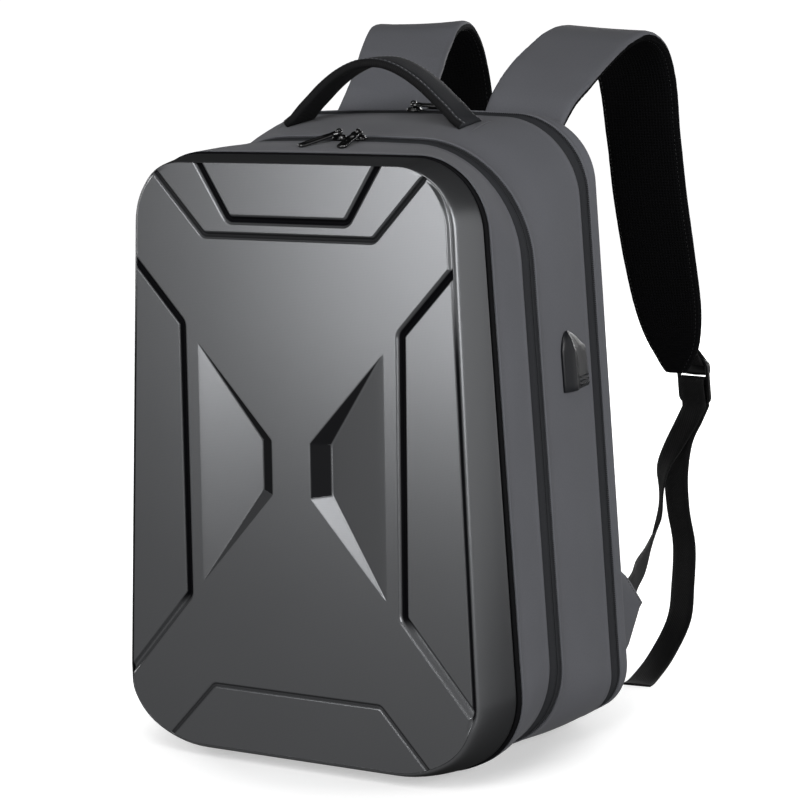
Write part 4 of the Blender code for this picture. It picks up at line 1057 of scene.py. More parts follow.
def repeat_tree(name, finish):
    """Geometry nodes: small round solids set along a line, turned to its direction and its normal."""
    tree = bpy.data.node_groups.new(name, "GeometryNodeTree")
    face = tree.interface
    face.new_socket("Geometry", in_out="INPUT", socket_type="NodeSocketGeometry")
    sockets = []
    for label in ROW_SIZES:
        sockets.append(face.new_socket(label, in_out="INPUT", socket_type="NodeSocketFloat").identifier)
    face.new_socket("Geometry", in_out="OUTPUT", socket_type="NodeSocketGeometry")
    source = add_node(tree, "NodeGroupInput").outputs
    curve = add_node(tree, "GeometryNodeMeshToCurve", {"Mesh": source["Geometry"]})
    spots = {"Curve": curve, "Length": source["Spacing"]}
    spots = add_node(tree, "GeometryNodeResampleCurve", spots, mode="LENGTH")
    away = add_node(tree, "GeometryNodeInputNamedAttribute", {"Name": "away"}, data_type="FLOAT_VECTOR")
    upright = add_node(
        tree, "FunctionNodeAlignRotationToVector", {"Vector": away.outputs["Attribute"]}, axis="Z"
    )
    turned = {"Rotation": upright, "Vector": add_node(tree, "GeometryNodeInputTangent")}
    turned = add_node(tree, "FunctionNodeAlignRotationToVector", turned, axis="X", pivot_axis="Z")
    size = {"X": source["Length"], "Y": source["Width"], "Z": source["Height"]}
    size = add_node(tree, "ShaderNodeCombineXYZ", size)
    solid = add_node(tree, "GeometryNodeMeshIcoSphere", {"Radius": 0.5, "Subdivisions": 2})
    placed = {"Points": spots, "Instance": solid, "Rotation": turned, "Scale": size}
    placed = add_node(tree, "GeometryNodeInstanceOnPoints", placed)
    real = add_node(tree, "GeometryNodeRealizeInstances", {"Geometry": placed})
    smooth = add_node(tree, "GeometryNodeSetShadeSmooth", {"Geometry": real})
    done = add_node(tree, "GeometryNodeSetMaterial", {"Geometry": smooth, "Material": finish})
    add_node(tree, "NodeGroupOutput", {"Geometry": done})
    return tree, sockets


def add_row(name, lines, finish, size):
    """Small solids along lines of (point, normal). Size is their spacing, length, width and height."""
    points, edges, away = [], [], []
    for line in lines:
        start = len(points)
        points += [tuple(p) for p, _ in line]
        away += [tuple(n) for _, n in line]
        edges += [(start + i, start + i + 1) for i in range(len(line) - 1)]
    mesh = bpy.data.meshes.new(name)
    mesh.from_pydata(points, edges, [])
    normal = mesh.attributes.new("away", "FLOAT_VECTOR", "POINT")
    normal.data.foreach_set("vector", np.array(away, np.float32).ravel())
    made = bpy.data.objects.new(name, mesh)
    bpy.context.scene.collection.objects.link(made)
    tree, sockets = repeat_tree(name + "_nodes", materials()[finish])
    modifier = made.modifiers.new("Row", "NODES")
    modifier.node_group = tree
    for socket, value in zip(sockets, size):
        modifier[socket] = float(value)
    apply_modifiers(made)
    ready(made)


def stitch_size(height=0.0005, width=0.0006):
    sizes = bpy.context.scene.bag_sizes
    return sizes.stitch_gap, sizes.stitch, width, height


def ring_line(depth, lift):
    """A closed line round the bag with its outward directions."""
    flat = bag_outline(depth, -lift)
    line = []
    for i, p in enumerate(flat):
        along = flat[(i + 1) % len(flat)] - flat[i - 1]
        line.append((place(p.x, depth, p.y), Vector((along.y, 0.0, -along.x)).normalized()))
    return line + line[:1]


# ---------------------------------------------------------------- bands of strap, web and handle

def band_frames(centres, turns, rolls):
    """For each station of a band, the direction across it and the direction out of its face."""
    frames = []
    for i in range(len(centres)):
        along = (centres[min(i + 1, len(centres) - 1)] - centres[max(i - 1, 0)]).normalized()
        across = Matrix.Rotation(math.radians(turns[i]), 3, "Z") @ Vector((1.0, 0.0, 0.0))
        across = (across - along * across.dot(along)).normalized()
        across = Matrix.Rotation(math.radians(rolls[i]), 3, along) @ across
        frames.append((across, across.cross(along).normalized()))
    return frames


def strap_path(side_name, steps=10):
    """A shoulder strap's centres, frames and half widths, as they are on the right side."""
    path = smooth_path(STRAPS[side_name] + STRAP_TAIL, steps)
    columns = dict(zip(STRAP_COLUMNS, zip(*path)))
    centres = [place(*row[:3]) for row in path]
    frames = band_frames(centres, columns["turn"], columns["roll"])
    first = frames[steps]
    for i in range(steps):
        share = i / steps
        across = Vector((1.0, 0.0, 0.0)).lerp(first[0], share).normalized()
        up = Vector((0.0, 0.0, 1.0)).lerp(first[1], share)
        frames[i] = (across, (up - across * up.dot(across)).normalized())
    return centres, frames, columns["half_width"]


def strap_profile(half):
    """A strap's section as (across, out, finish): fabric outside and round both edges, mesh inside."""
    edge = min(STRAP_EDGE, half * 0.35)
    right = [(half - edge, 0.0042, 0), (half - 0.0022, 0.0038, 0), (half - 0.0007, 0.0028, 0), (half, 0.0010, 0),
             (half - 0.0002, -0.0010, 1), (half - 0.0009, -0.0028, 1), (half - 0.0022, -0.0038, 1),
             (half - edge, -0.0036, 1), (half - edge - 0.0006, -0.0040, 1)]
    inner = half - edge - 0.0006
    face = [(inner * s, 0.0045 - 0.0003 * abs(s) ** 3, 0) for s in (-0.85, -0.55, -0.2, 0.2, 0.55, 0.85)]
    back = [(-a, -b, 1) for a, b, _ in face]
    left = [(-a, b, f) for a, b, f in reversed(right)]
    return face + right + back + left


def add_strap(side_name, side):
    """A padded shoulder strap; small puckers follow the stitches along its edges."""
    centres, frames, halves = strap_path(side_name)
    rows, seams = [], [[], []]
    rng = np.random.default_rng(3 + side)
    for centre, (across, up), half in zip(centres, frames, halves):
        pucker = 0.00012 * rng.standard_normal()
        row = []
        for a, b, _ in strap_profile(half):
            near = 1.0 if abs(a) > half * 0.72 else 0.0
            row.append(centre + a * across + (b + pucker * near) * up)
        rows.append(row)
        away = half - (min(STRAP_EDGE, half * 0.35) - 0.0007)
        for seam, sign in zip(seams, (-1, 1)):
            seam.append((centre + across * sign * away - up * 0.00375, -up))
    sides = [finish for *_, finish in strap_profile(halves[0])]
    slots = [max(pair) for pair in zip(sides, sides[1:] + sides[:1])]
    kit = materials()
    made = loft("strap_pad_" + side_name, mirrored(rows, side), [kit["fabric"], kit["mesh"]], column_slots=slots)
    ready(made, replaced=("strap_" + side_name,))
    lines = [mirrored(seam[2:-4], side) for seam in seams]
    add_row("strap_seam_" + side_name, lines, "dark_thread", stitch_size())


def lock_place(across_by, along_by, out_by):
    """A place on the right ladder-lock: across it, down along it and out from its middle."""
    along = Vector(LOCK_HANG).normalized()
    across = Matrix.Rotation(math.radians(LOCK_TURN), 3, "Z") @ Vector((1.0, 0.0, 0.0))
    across = (across - along * across.dot(along)).normalized()
    out = across.cross(along)
    return place(*LOCK_TOP) + across * across_by + along * along_by + out * out_by


def lock_across():
    return lock_place(1.0, 0.0, 0.0) - lock_place(0.0, 0.0, 0.0)


def flat_frames(centres, across):
    """For each station of a fold, the direction across it, which stays, and the direction out of its face."""
    frames = []
    for i in range(len(centres)):
        along = centres[min(i + 1, len(centres) - 1)] - centres[max(i - 1, 0)]
        frames.append((across, across.cross(along).normalized()))
    return frames


def add_web(name, node, side, centres, frames):
    """A run of webbing with rounded selvedges."""
    half, thick = WEB_WIDTH / 2, WEB_THICKNESS / 2
    shape = [(half - 0.0006, thick), (half - 0.0001, thick * 0.5), (half - 0.0001, -thick * 0.5)]
    shape += [(half - 0.0006, -thick)] + [(half * s, -thick) for s in (0.5, 0.0, -0.5)]
    shape += [(-a, -b) for a, b in shape]
    rows = [[centre + across * a + up * b for a, b in shape] for centre, (across, up) in zip(centres, frames)]
    made = loft(name, mirrored(rows, side), [materials()["webbing"]])
    ready(made, replaced=(node,))


def bartack(centre, across, up, side, width=0.020, length=0.006):
    """Three stitched lines across a web, as dense as a bartack."""
    lines = []
    for k in (-1, 0, 1):
        middle = centre + across.cross(up) * (length * k / 2)
        lines.append(mirrored([(middle + across * (sign * width / 2), up) for sign in (-1, 1)], side))
    return lines


def add_holder(side_name, side):
    """Webbing sewn to the strap's outer face and folded round the lock's top bar."""
    strap_centres, strap_frames, _ = strap_path(side_name, 2)
    lift = STRAP_THICKNESS / 2 + GAP + WEB_THICKNESS / 2
    back = lift + WEB_THICKNESS + GAP
    under, over = range(-9, -4), range(-5, -8, -1)
    fold = [lock_place(0.0, TOP_BAR + FOLD_RADIUS * math.sin(a), -FOLD_RADIUS * math.cos(a)) for a in FOLD_TURNS]
    centres = [strap_centres[i] + strap_frames[i][1] * lift for i in under] + fold
    centres += [strap_centres[i] + strap_frames[i][1] * back for i in over]
    frames = [strap_frames[i] for i in under] + flat_frames(fold, lock_across())
    frames += [(strap_frames[i][0], -strap_frames[i][1]) for i in over]
    add_web("lock_holder_" + side_name, "holder_" + side_name, side, centres, frames)
    spot, (across, up) = strap_centres[-7], strap_frames[-7]
    tack = bartack(spot + up * (back + WEB_THICKNESS / 2 + 0.0001), across, up, side)
    add_row("lock_tack_" + side_name, tack, "dark_thread", TACK)


def web_route(rows):
    """Centres and frames of webbing through rows of (x, depth, z, way across)."""
    path = smooth_path(rows, 5)
    centres = [place(*row[:3]) for row in path]
    frames = []
    for i, row in enumerate(path):
        along = (centres[min(i + 1, len(path) - 1)] - centres[max(i - 1, 0)]).normalized()
        across = Vector(row[3:])
        across = (across - along * across.dot(along)).normalized()
        frames.append((across, across.cross(along)))
    return centres, frames


def add_lower_web(side_name, side):
    """Webbing from the wing up behind the lock, over its middle bar and down to the folded tail."""
    up_centres, up_frames = web_route(WEB_TO_WING)
    tail_centres, tail_frames = web_route(WEB_TAIL)
    inner = BUCKLE_THICKNESS / 2 + GAP + WEB_THICKNESS / 2
    reach = LOW_BAR + 2 * BAR_HALF
    route = [(reach, -inner), (LOW_BAR - BAR_HALF, -inner), (MIDDLE_BAR + BAR_HALF, -FOLD_RADIUS)]
    route += [(MIDDLE_BAR - FOLD_RADIUS * math.sin(a), -FOLD_RADIUS * math.cos(a)) for a in FOLD_TURNS]
    route += [(MIDDLE_BAR + BAR_HALF, FOLD_RADIUS), (LOW_BAR - BAR_HALF, inner), (reach, inner)]
    through = [lock_place(0.0, along, out) for along, out in route]
    centres = up_centres[::-1] + through + tail_centres
    frames = [(across, -up) for across, up in reversed(up_frames)]
    frames += flat_frames(through, lock_across()) + tail_frames
    add_web("lower_web_" + side_name, "web_" + side_name, side, centres, frames)
    spot, (across, up) = tail_centres[-4], tail_frames[-4]
    tack = bartack(spot + up * (WEB_THICKNESS / 2 + 0.0001), across, up, side)
    add_row("tail_tack_" + side_name, tack, "dark_thread", TACK)


def rounded_rectangle(width, length, corner, steps=6):
    loop = []
    for quarter, (sx, sy) in enumerate(((1, 1), (-1, 1), (-1, -1), (1, -1))):
        centre = Vector((sx * (width / 2 - corner), length / 2 + sy * (length / 2 - corner)))
        loop += arc_points(centre, corner, math.pi / 2 * quarter, math.pi / 2 * (quarter + 1), steps)
    return loop


# The lock's upper lip: places across it and how full it is there; then its middle along and out, and its half sizes
LIP = ((-0.0150, 0.3), (-0.0146, 0.62), (-0.0125, 0.9), (0.0, 1.0), (0.0125, 0.9), (0.0146, 0.62), (0.0150, 0.3))
LIP_ALONG, LIP_OUT, LIP_LENGTH, LIP_HEIGHT, LIP_SIDES = 0.0085, 0.0030, 0.0072, 0.0024, 14


def add_buckle(side_name, side):
    """A ladder-lock with rounded bars: two slots in a softened frame, and a swollen upper lip."""
    finish = [materials()["plastic"]]

    def slab(name, outline, half):
        rows = [[lock_place(a, b, out) for a, b in outline] for out in (-half, half)]
        return loft(name, mirrored(rows, side), finish)

    outline = rounded_rectangle(BUCKLE_WIDTH, BUCKLE_LENGTH, BUCKLE_CORNER)
    made = slab("ladder_lock_" + side_name, outline, BUCKLE_THICKNESS / 2)
    for before, after in ((TOP_BAR, MIDDLE_BAR), (MIDDLE_BAR, LOW_BAR)):
        start, end = before + BAR_HALF, after - BAR_HALF
        slot = [p + Vector((0.0, start)) for p in rounded_rectangle(SLOT_WIDTH, end - start, 0.0012, 3)]
        cut_away(made, slab("slot", slot, BUCKLE_THICKNESS))
    bevelled(made, 0.0009, 3, 50)
    ready(made, replaced=("buckle_" + side_name,))
    turns = [2 * math.pi * k / LIP_SIDES for k in range(LIP_SIDES)]
    lip = [
        [lock_place(across, LIP_ALONG + LIP_LENGTH * full * math.cos(a), LIP_OUT + LIP_HEIGHT * full * math.sin(a))
         for a in turns]
        for across, full in LIP
    ]
    ready(loft("ladder_lock_lip_" + side_name, mirrored(lip, side), finish))


WING_LAYERS = ((0.0, 0.0011), (0.0004, 0.0003), (0.0015, 0.0), (0.0026, 0.0003), (WING_THICKNESS, 0.0011))
WING_SEAMS = (((0.2395, 0.1085), (0.2628, 0.0832)), ((0.2601, 0.0822), (0.2401, 0.0585)))


def add_wing(side_name, side):
    """The fabric wing: two layers sewn round the web's end, softly rounded at the edges."""
    corners = [Vector(c) for c in WING_CORNERS]
    rows = []
    for x, inset in WING_LAYERS:
        loop = offset_loop(corners[::-1], -inset)
        fine = [p for a, b in zip(loop, loop[1:] + loop[:1]) for p in spaced(a, b, 5)]
        rows.append([place(side * (WING_X + x), p.x, p.y) for p in fine])
    made = loft("wing_cloth_" + side_name, rows, [materials()["fabric"]])
    ready(made, replaced=("wing_" + side_name,))
    seam_x, out = side * (WING_X + WING_THICKNESS + 0.0001), Vector((side, 0.0, 0.0))
    lines = [[(place(seam_x, *p), out) for p in spaced(Vector(a), Vector(b), 6)] for a, b in WING_SEAMS]
    add_row("wing_seam_" + side_name, lines, "dark_thread", stitch_size())


def add_handle():
    """A padded handle: dark smooth cover, ribbed edges, stitched along both, with its feet sewn in."""
    half = smooth_path(HANDLE_LINE, 4)
    end = Vector((HANDLE_FOOT, outline_sizes(HANDLE_DEPTH)["high"] - 0.0012))
    line = [Vector((x, z)) for x, z in half] + [end]
    line = [Vector((-p.x, p.y)) for p in reversed(line[1:])] + line
    back = Vector((0.0, 1.0, 0.0))
    wide, thick = HANDLE_WIDTH / 2, HANDLE_THICKNESS / 2
    edge = [(wide - 0.0004, thick * 0.55, 1), (wide, 0.0, 1), (wide - 0.0004, -thick * 0.55, 1)]
    cover = [(wide * 0.5, thick * 0.99, 0), (wide - 0.0022, thick * 0.92, 0), (wide - 0.0018, thick * 0.78, 1)]
    right = cover + edge + [(wide - 0.0018, -thick * 0.9, 1), (wide * 0.5, -thick, 1)]
    shape = [(0.0, thick, 0)] + right + [(0.0, -thick, 1)] + [(-a, b, f) for a, b, f in reversed(right)]
    rows, seam = [], [[], []]
    for i, point in enumerate(line):
        along = line[min(i + 1, len(line) - 1)] - line[max(i - 1, 0)]
        out = Vector((-along.y, 0.0, along.x)).normalized()
        centre = place(point.x, HANDLE_DEPTH, point.y)
        rows.append([centre + back * a + out * b for a, b, _ in shape])
        for stitches, sign in zip(seam, (-1, 1)):
            stitches.append((centre + back * sign * (wide - 0.0030) + out * thick * 0.95, out))
    kinds = [f for *_, f in shape]
    slots = [min(pair) for pair in zip(kinds, kinds[1:] + kinds[:1])]
    kit = materials()
    made = loft("handle_pad", rows, [kit["handle"], kit["binding"]], column_slots=slots)
    ready(made, replaced=("carry_handle",))
    add_row("handle_seam", seam, "thread", stitch_size(0.0004, 0.0005))
    tack = []
    for side in (-1, 1):
        for x in HANDLE_TACKS:
            line = []
            for depth in HANDLE_TACK_DEPTHS:
                top = ring_line(depth, 0.0004)[RING_SIDE:]
                spot, away = next(p for p in top if p[0].x < x)
                line.append((Vector((x, spot.y, spot.z)), away))
            tack.append(mirrored(line, side))
    add_row("handle_tack", tack, "thread", (0.0016, 0.0014, 0.0006, 0.0004))


# The back panel's edge, as (inset from the rim, depth), and its cushions, as (x, x, z, z)
BACK_EDGE = (
    (0.0040, 0.2120), (0.0034, 0.2150), (0.0034, 0.2175), (0.0042, 0.2196), (0.0058, 0.2210),
    (0.0080, 0.2220), (0.0110, 0.2228), (0.0150, 0.2233), (0.0200, 0.2237), (0.0260, 0.2240),
)
CUSHIONS = (
    (-0.110, -0.016, 0.040, 0.205), (0.016, 0.110, 0.040, 0.205),
    (-0.110, -0.016, 0.221, 0.432), (0.016, 0.110, 0.221, 0.432),
)
CUSHION_HEIGHT, CUSHION_EDGE = 0.0095, 0.016


def add_back_panel():
    """A padded board: four foam cushions under spacer mesh, with channels between."""
    rows = []
    for inset, depth in BACK_EDGE:
        rows.append([place(p.x, depth, p.y) for p in bag_outline(min(depth, RIM_BACK), inset)])
    inset, depth = BACK_EDGE[-1]
    flat = bag_outline(RIM_BACK, inset)
    middle = Vector((0.0, sum((p.y for p in flat), 0.0) / len(flat)))
    for share in np.arange(0.98, 0.0, -0.02):
        spots = [middle + (p - middle) * share for p in flat]
        rows.append([place(q.x, depth + pad_height(q.x, q.y), q.y) for q in spots])
    made = loft("back_pad", rows, [materials()["back_mesh"]])
    uvs = made.data.uv_layers["metres"].data
    for corner in made.data.loops:
        uvs[corner.index].uv = made.data.vertices[corner.vertex_index].co.xz
    ready(made, replaced=("back_panel",))


def pad_height(x, z):
    """How far the foam stands out from the panel's edge, with channels between its cushions."""
    height = 0.0
    for x0, x1, z0, z1 in CUSHIONS:
        inside = min(x - x0, x1 - x, z - z0, z1 - z)
        height = max(height, CUSHION_HEIGHT * min(max(inside / CUSHION_EDGE, 0.0), 1.0) ** 0.6)
    return height


def wall_x(depth, z):
    """How far out the right wall lies; it has no twist, so the solids' plain width holds."""
    depths = OUTLINES[:, 0]
    return half_width(z, float(np.interp(depth, depths, OUTLINES[:, 1])))


# The port's section from its front edge to its back edge, as shares of its width and of how far it stands out
HOOD = (
    (0.0, 0.0), (0.0, 0.30), (0.03, 0.48), (0.12, 0.80), (0.24, 0.93), (0.31, 1.0), (0.335, 1.04), (0.36, 1.0),
    (0.40, 0.72), (0.55, 0.60), (0.75, 0.47), (0.97, 0.36), (1.0, 0.30), (1.0, 0.0), (0.5, 0.0), (0.2, 0.0),
)
RIB_LEVELS, RIB_DEPTHS = (0.2742, 0.2772, 0.2802), (0.1615, 0.1690, 0.1765)
RIB_FRONT, RIB_WIDTH = 0.1388, 0.0385


def add_port():
    """The charging port: a satin hood with a sharp ridge and a sloping panel with three grip ribs."""
    rows = []
    for level, front, back, proud in smooth_path(PORT, 4):
        row = []
        for share, height in HOOD:
            depth = front + (back - front) * share
            row.append(place(wall_x(depth, level) + GAP + proud * height, depth, level))
        rows.append(row)
    made = loft("port_hood", rows, [materials()["port"]])
    bevelled(made, 0.0004, 2, 40)
    ready(made, replaced=("usb_port",))
    ribs = []
    for level in RIB_LEVELS:
        line = []
        for depth in RIB_DEPTHS:
            share = (depth - RIB_FRONT) / RIB_WIDTH
            lift = PORT[0][3] * (0.72 - 0.6 * (share - 0.40)) + GAP
            line.append((place(wall_x(depth, level) + lift + 0.0001, depth, level), Vector((1.0, 0.0, 0.0))))
        ribs.append(line)
    add_row("port_ribs", ribs, "port", (0.0006, 0.0012, 0.0012, 0.0014))


def slider_frame(name):
    """Where a slider stands on the bag's top, its pull's hinge, and the ways across, ahead of and up off it."""
    x, depth, heading, _ = SLIDERS[name]
    near = (depth - 0.004, depth, depth + 0.004)
    before, middle, after = (float(np.interp(d, OUTLINES[:, 0], OUTLINES[:, 3])) for d in near)
    right, back = Vector((1.0, 0.0, 0.0)), Vector((0.0, 0.008, after - before)).normalized()
    up = right.cross(back)
    turn = Matrix.Rotation(math.radians(heading), 3, up)
    spot = place(x, depth, middle)
    return spot, spot + up * (GAP + SLIDER_HEIGHT + PULL_THICKNESS), turn @ right, turn @ -back, up


# A slider's rings from its foot to its top, as (lift, share of its size), and its bridge for the pull
SLIDER_RINGS = (
    (0.0002, 0.90), (0.0005, 0.98), (0.0010, 1.0), (0.0014, 0.97), (0.0016, 0.88), (0.0022, 0.86),
    (0.0028, 0.80), (0.0032, 0.66), (0.0034, 0.42), (0.0035, 0.12),
)
BRIDGE_RADIUS, BRIDGE_THICK, BRIDGE_WIDE, BRIDGE_STEPS, BRIDGE_SIDES = 0.0024, 0.0006, 0.0011, 16, 10


def add_slider(name):
    """A zip slider: a domed, tapered body, a flange round its foot and a bridge for the pull."""
    spot, hub, across, ahead, up = slider_frame(name)
    travel = Vector((1.0, 0.0, 0.0))
    side = up.cross(travel).normalized()
    outline = []
    for i in range(32):
        angle = 2 * math.pi * i / 32
        c, s = math.cos(angle), math.sin(angle)
        taper = 1.0 - 0.16 * (1 if c > 0 else -0.4) * abs(c)
        outline.append((0.5 * math.copysign(abs(c) ** 0.7, c), 0.5 * math.copysign(abs(s) ** 0.7, s) * taper))
    body = [
        [spot + travel * (a * SLIDER_LENGTH * grow) + side * (w * SLIDER_WIDTH * grow) + up * lift
         for a, w in outline]
        for lift, grow in SLIDER_RINGS
    ]
    bridge = []
    for i in range(BRIDGE_STEPS + 1):
        angle = math.pi * (i / BRIDGE_STEPS * 1.36 - 0.18)
        normal = ahead * math.cos(angle) + up * math.sin(angle)
        turns = [2 * math.pi * k / BRIDGE_SIDES for k in range(BRIDGE_SIDES)]
        bridge.append([
            hub + normal * (BRIDGE_RADIUS + BRIDGE_THICK * math.cos(t)) + across * BRIDGE_WIDE * math.sin(t)
            for t in turns
        ])
    finish = [materials()["metal"]]
    ready(loft("slider_body_" + name, body, finish), replaced=("slider_" + name,))
    ready(loft("slider_bridge_" + name, bridge, finish))


# A pull's left edge from its eye to its tip, as (share of its half width, along), and its layers, as
# (share of its thickness, share of its outline); then its eye's and its sunk middle's half width and ends
PULL_EDGE = (
    (0.75, -0.0006), (0.98, 0.0010), (1.0, 0.0040), (0.72, 0.0068), (0.66, 0.0080), (0.9, 0.0100),
    (0.96, PULL_LENGTH - 0.0050), (0.86, PULL_LENGTH - 0.0022), (0.5, PULL_LENGTH - 0.0006), (0.0, PULL_LENGTH),
)
PULL_LAYERS = ((-0.5, 0.80), (-0.38, 0.95), (-0.15, 1.0), (0.15, 1.0), (0.38, 0.95), (0.5, 0.80))
PULL_OPEN, PULL_EYE, PULL_SUNK = 0.0019, (0.0006, 0.0042), (0.0125, PULL_LENGTH - 0.0065)


def add_pull(name):
    """A long bar pull: an eye on the bridge, a waist, a raised frame with a sunk middle and a round tip."""
    _, hub, across, ahead, up = slider_frame(name)
    drop = math.radians(SLIDERS[name][3])
    lie = ahead * math.cos(drop) - up * math.sin(drop)
    normal = across.cross(lie).normalized()
    left = smooth_path([(-PULL_WIDTH / 2 * share, along) for share, along in PULL_EDGE], 4)
    outline = left + [(-a, b) for a, b in reversed(left[:-1])]
    finish = [materials()["metal"]]
    rows = []
    for out, grow in PULL_LAYERS:
        row = []
        for a, b in outline:
            along = b if grow == 1.0 else b + (0.018 - b) * (1 - grow) * 0.09
            row.append(hub + across * a * grow + lie * along + normal * out * 1.4 * PULL_THICKNESS)
        rows.append(row)
    made = loft("pull_tab_" + name, rows, finish)

    def cut(ends, outs):
        start, end = ends
        hole = ((-PULL_OPEN, start), (-PULL_OPEN, end), (PULL_OPEN, end), (PULL_OPEN, start))
        rows = [[hub + across * a + lie * b + normal * (out * PULL_THICKNESS) for a, b in hole] for out in outs]
        cut_away(made, loft("cut", rows, finish))

    cut(PULL_EYE, (-1.0, 1.0))
    cut(PULL_SUNK, (0.35, 1.2))
    cut(PULL_SUNK, (-0.35, -1.2))
    smooth_by_angle(made, 40)
    ready(made, body="tab_" + name, replaced=("pull_" + name,))


# ---------------------------------------------------------------- the studio

CAMERA_PLACE = (1.142, -1.78258, 0.63730)
CAMERA_RIGHT = (0.85174709, 0.52260531, -0.03755782)
CAMERA_UP = (-0.06018834, 0.16879859, 0.98381116)
CAMERA_BACK = (0.52048464, -0.83569775, 0.17522845)


# Each lamp's place, what it is aimed at, its size and its watts
LAMPS = {
    "lamp_key": ((-0.26, -1.05, 0.50), (0.06, -0.1, 0.31), (0.54, 0.60), 6.9),
    "lamp_over": ((0.36, -1.10, 1.25), (0.0, -0.1, 0.30), (0.60, 0.60), 9.5),
    "lamp_right": ((2.0, -1.05, 0.75), (0.12, 0.0, 0.28), (0.8, 1.1), 31.0),
    "lamp_side": ((1.9, 0.55, 0.45), (0.16, -0.05, 0.30), (1.5, 1.3), 5.5),
    "lamp_back": ((1.2, 1.9, 0.20), (0.16, -0.05, 0.28), (1.3, 0.9), 4.0),
    "lamp_rear": ((-0.15, 2.1, 0.60), (-0.02, 0.1, 0.26), (0.8, 0.9), 26.0),
    "lamp_left": ((-2.0, 0.5, 0.60), (-0.1, 0.05, 0.26), (0.9, 0.9), 9.0),
}


def add_lamps(power):
    for name, (where, towards, size, watts) in LAMPS.items():
        lamp = bpy.data.lights.new(name, "AREA")
        lamp.shape, lamp.size, lamp.size_y = "RECTANGLE", size[0], size[1]
        lamp.energy = watts * power
        made = bpy.data.objects.new(name, lamp)
        made.location = where
        made.rotation_euler = (Vector(towards) - Vector(where)).to_track_quat("-Z", "Y").to_euler()
        bpy.context.scene.collection.objects.link(made)


def add_camera(lens):
    camera = bpy.data.objects.new("camera", bpy.data.cameras.new("camera"))
    camera.data.lens, camera.data.sensor_width = lens, 36.0
    columns = [Vector(c) for c in (CAMERA_RIGHT, CAMERA_UP, CAMERA_BACK)]
    camera.matrix_world = Matrix.Translation(CAMERA_PLACE) @ Matrix(columns).transposed().to_4x4()
    bpy.context.scene.collection.objects.link(camera)
    bpy.context.scene.camera = camera


def add_floor(size):
    bpy.ops.mesh.primitive_plane_add(size=size)
    floor = bpy.context.object
    floor.name = "floor"
    floor.data.materials.append(floor_material())
    floor.visible_glossy = False
    floor.visible_diffuse = False


def add_world():
    """A white room to the camera; to the bag, a light from below and in front that fades upwards and behind."""
    world = bpy.data.worlds.new("studio")
    world.use_nodes = True
    tree = world.node_tree
    tree.nodes.clear()
    seen = add_node(tree, "ShaderNodeLightPath").outputs["Is Camera Ray"]
    heading = add_node(tree, "ShaderNodeTexCoord").outputs["Generated"]
    heading = add_node(tree, "ShaderNodeSeparateXYZ", {"Vector": heading}).outputs
    height = {"Value": heading["Z"], "From Min": -0.3, "From Max": 0.55, "To Min": 0.33, "To Max": 0.04}
    behind = {"Value": heading["Y"], "From Min": -0.1, "From Max": 0.6, "To Min": 1.0, "To Max": 0.05}
    height, behind = (add_node(tree, "ShaderNodeMapRange", inputs) for inputs in (height, behind))
    share = add_node(tree, "ShaderNodeMath", {0: height, 1: behind}, operation="MULTIPLY")
    around, plain = (
        add_node(tree, "ShaderNodeBackground", {"Color": (1.0, 1.0, 1.0, 1.0), "Strength": strength})
        for strength in (share, 1.0)
    )
    both = add_node(tree, "ShaderNodeMixShader", {0: seen, 1: around, 2: plain})
    add_node(tree, "ShaderNodeOutputWorld", {"Surface": both})
    bpy.context.scene.world = world
    bpy.context.scene.view_settings.view_transform = "Standard"


def add_studio():
    settings = bpy.context.scene.studio
    add_camera(settings.lens)
    add_floor(settings.floor_size)
    add_lamps(settings.lamp_power)
    add_world()


# ---------------------------------------------------------------- operators, panel and the run

class BagStudio(bpy.types.Operator):
    """Adds the camera, floor and lamps"""
    bl_idname = "backpack.studio"
    bl_label = "Studio"

    def execute(self, context):
        add_studio()
        return {"FINISHED"}


class BagShell(bpy.types.Operator):
    """Adds the pressed hard shell and the welt round it"""
    bl_idname = "backpack.shell"
    bl_label = "Shell and piping"

    def execute(self, context):
        add_shell()
        add_piping()
        return {"FINISHED"}


class BagBody(bpy.types.Operator):
    """Adds the gussets, the rear rim and the back pad"""
    bl_idname = "backpack.body"
    bl_label = "Fabric body"

    def execute(self, context):
        add_fabric_body()
        add_back_panel()
        return {"FINISHED"}


class BagZips(bpy.types.Operator):
    """Adds the zip tapes, sliders and pulls"""
    bl_idname = "backpack.zips"
    bl_label = "Zips"

    def execute(self, context):
        for name, (start, end, slit) in ZIPS.items():
            add_zip("tape_" + name, name + "_zipper", start + 0.0001, end - 0.0001, slit)
        for name in SLIDERS:
            add_slider(name)
            add_pull(name)
        return {"FINISHED"}


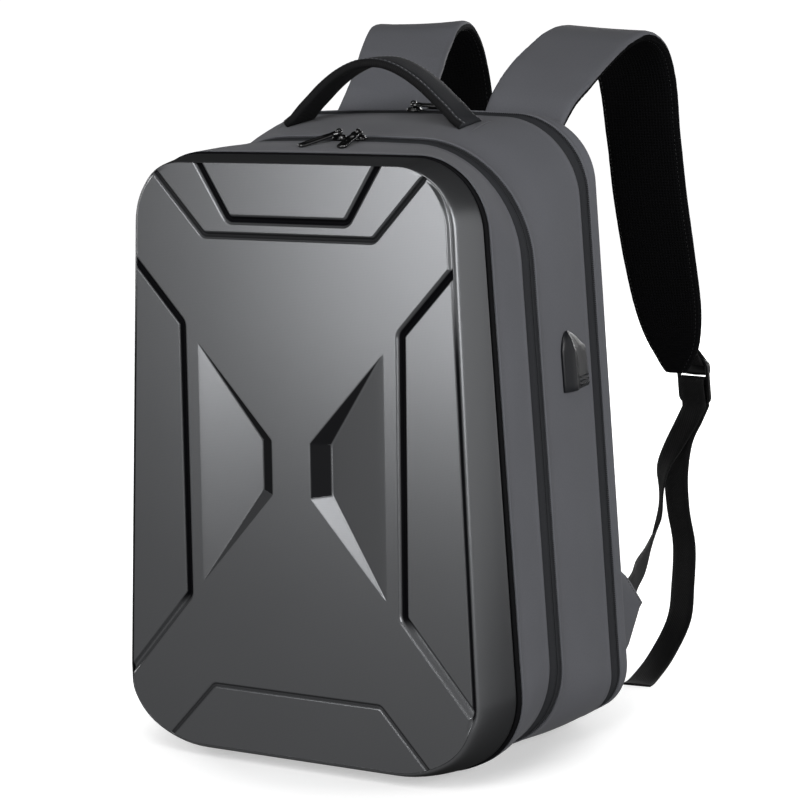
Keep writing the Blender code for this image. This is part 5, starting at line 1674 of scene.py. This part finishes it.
class BagHandle(bpy.types.Operator):
    """Adds the carry handle"""
    bl_idname = "backpack.handle"
    bl_label = "Handle"

    def execute(self, context):
        add_handle()
        return {"FINISHED"}


class BagStraps(bpy.types.Operator):
    """Adds the shoulder straps"""
    bl_idname = "backpack.straps"
    bl_label = "Shoulder straps"

    def execute(self, context):
        for name, side in SIDES.items():
            add_strap(name, side)
        return {"FINISHED"}


class BagAdjusters(bpy.types.Operator):
    """Adds the ladder-locks with their webbing and wings"""
    bl_idname = "backpack.adjusters"
    bl_label = "Adjusters"

    def execute(self, context):
        for name, side in SIDES.items():
            add_holder(name, side)
            add_buckle(name, side)
            add_lower_web(name, side)
            add_wing(name, side)
        return {"FINISHED"}


class BagPort(bpy.types.Operator):
    """Adds the charging port"""
    bl_idname = "backpack.port"
    bl_label = "Charging port"

    def execute(self, context):
        add_port()
        return {"FINISHED"}


class BagPanel(bpy.types.Panel):
    """Sizes, colours and the pieces of the backpack"""
    bl_idname = "VIEW3D_PT_backpack"
    bl_label = "Backpack"
    bl_space_type = "VIEW_3D"
    bl_region_type = "UI"
    bl_category = "Backpack"

    def draw(self, context):
        for group in (context.scene.bag_sizes, context.scene.bag_colours, context.scene.studio):
            box = self.layout.box()
            for name in group.__annotations__:
                box.prop(group, name)
        for operator in OPERATORS:
            self.layout.operator(operator.bl_idname)


OPERATORS = (BagStudio, BagShell, BagBody, BagZips, BagHandle, BagStraps, BagAdjusters, BagPort)
CLASSES = (BagColours, BagSizes, StudioSettings, *OPERATORS, BagPanel)


def register():
    for cls in CLASSES:
        bpy.utils.register_class(cls)
    bpy.types.Scene.bag_colours = PointerProperty(type=BagColours)
    bpy.types.Scene.bag_sizes = PointerProperty(type=BagSizes)
    bpy.types.Scene.studio = PointerProperty(type=StudioSettings)


def unregister():
    del bpy.types.Scene.bag_colours, bpy.types.Scene.bag_sizes, bpy.types.Scene.studio
    for cls in reversed(CLASSES):
        bpy.utils.unregister_class(cls)


def main():
    register()
    for operator in OPERATORS:
        area, name = operator.bl_idname.split(".")
        getattr(getattr(bpy.ops, area), name)()


if __name__ == "__main__":
    main()
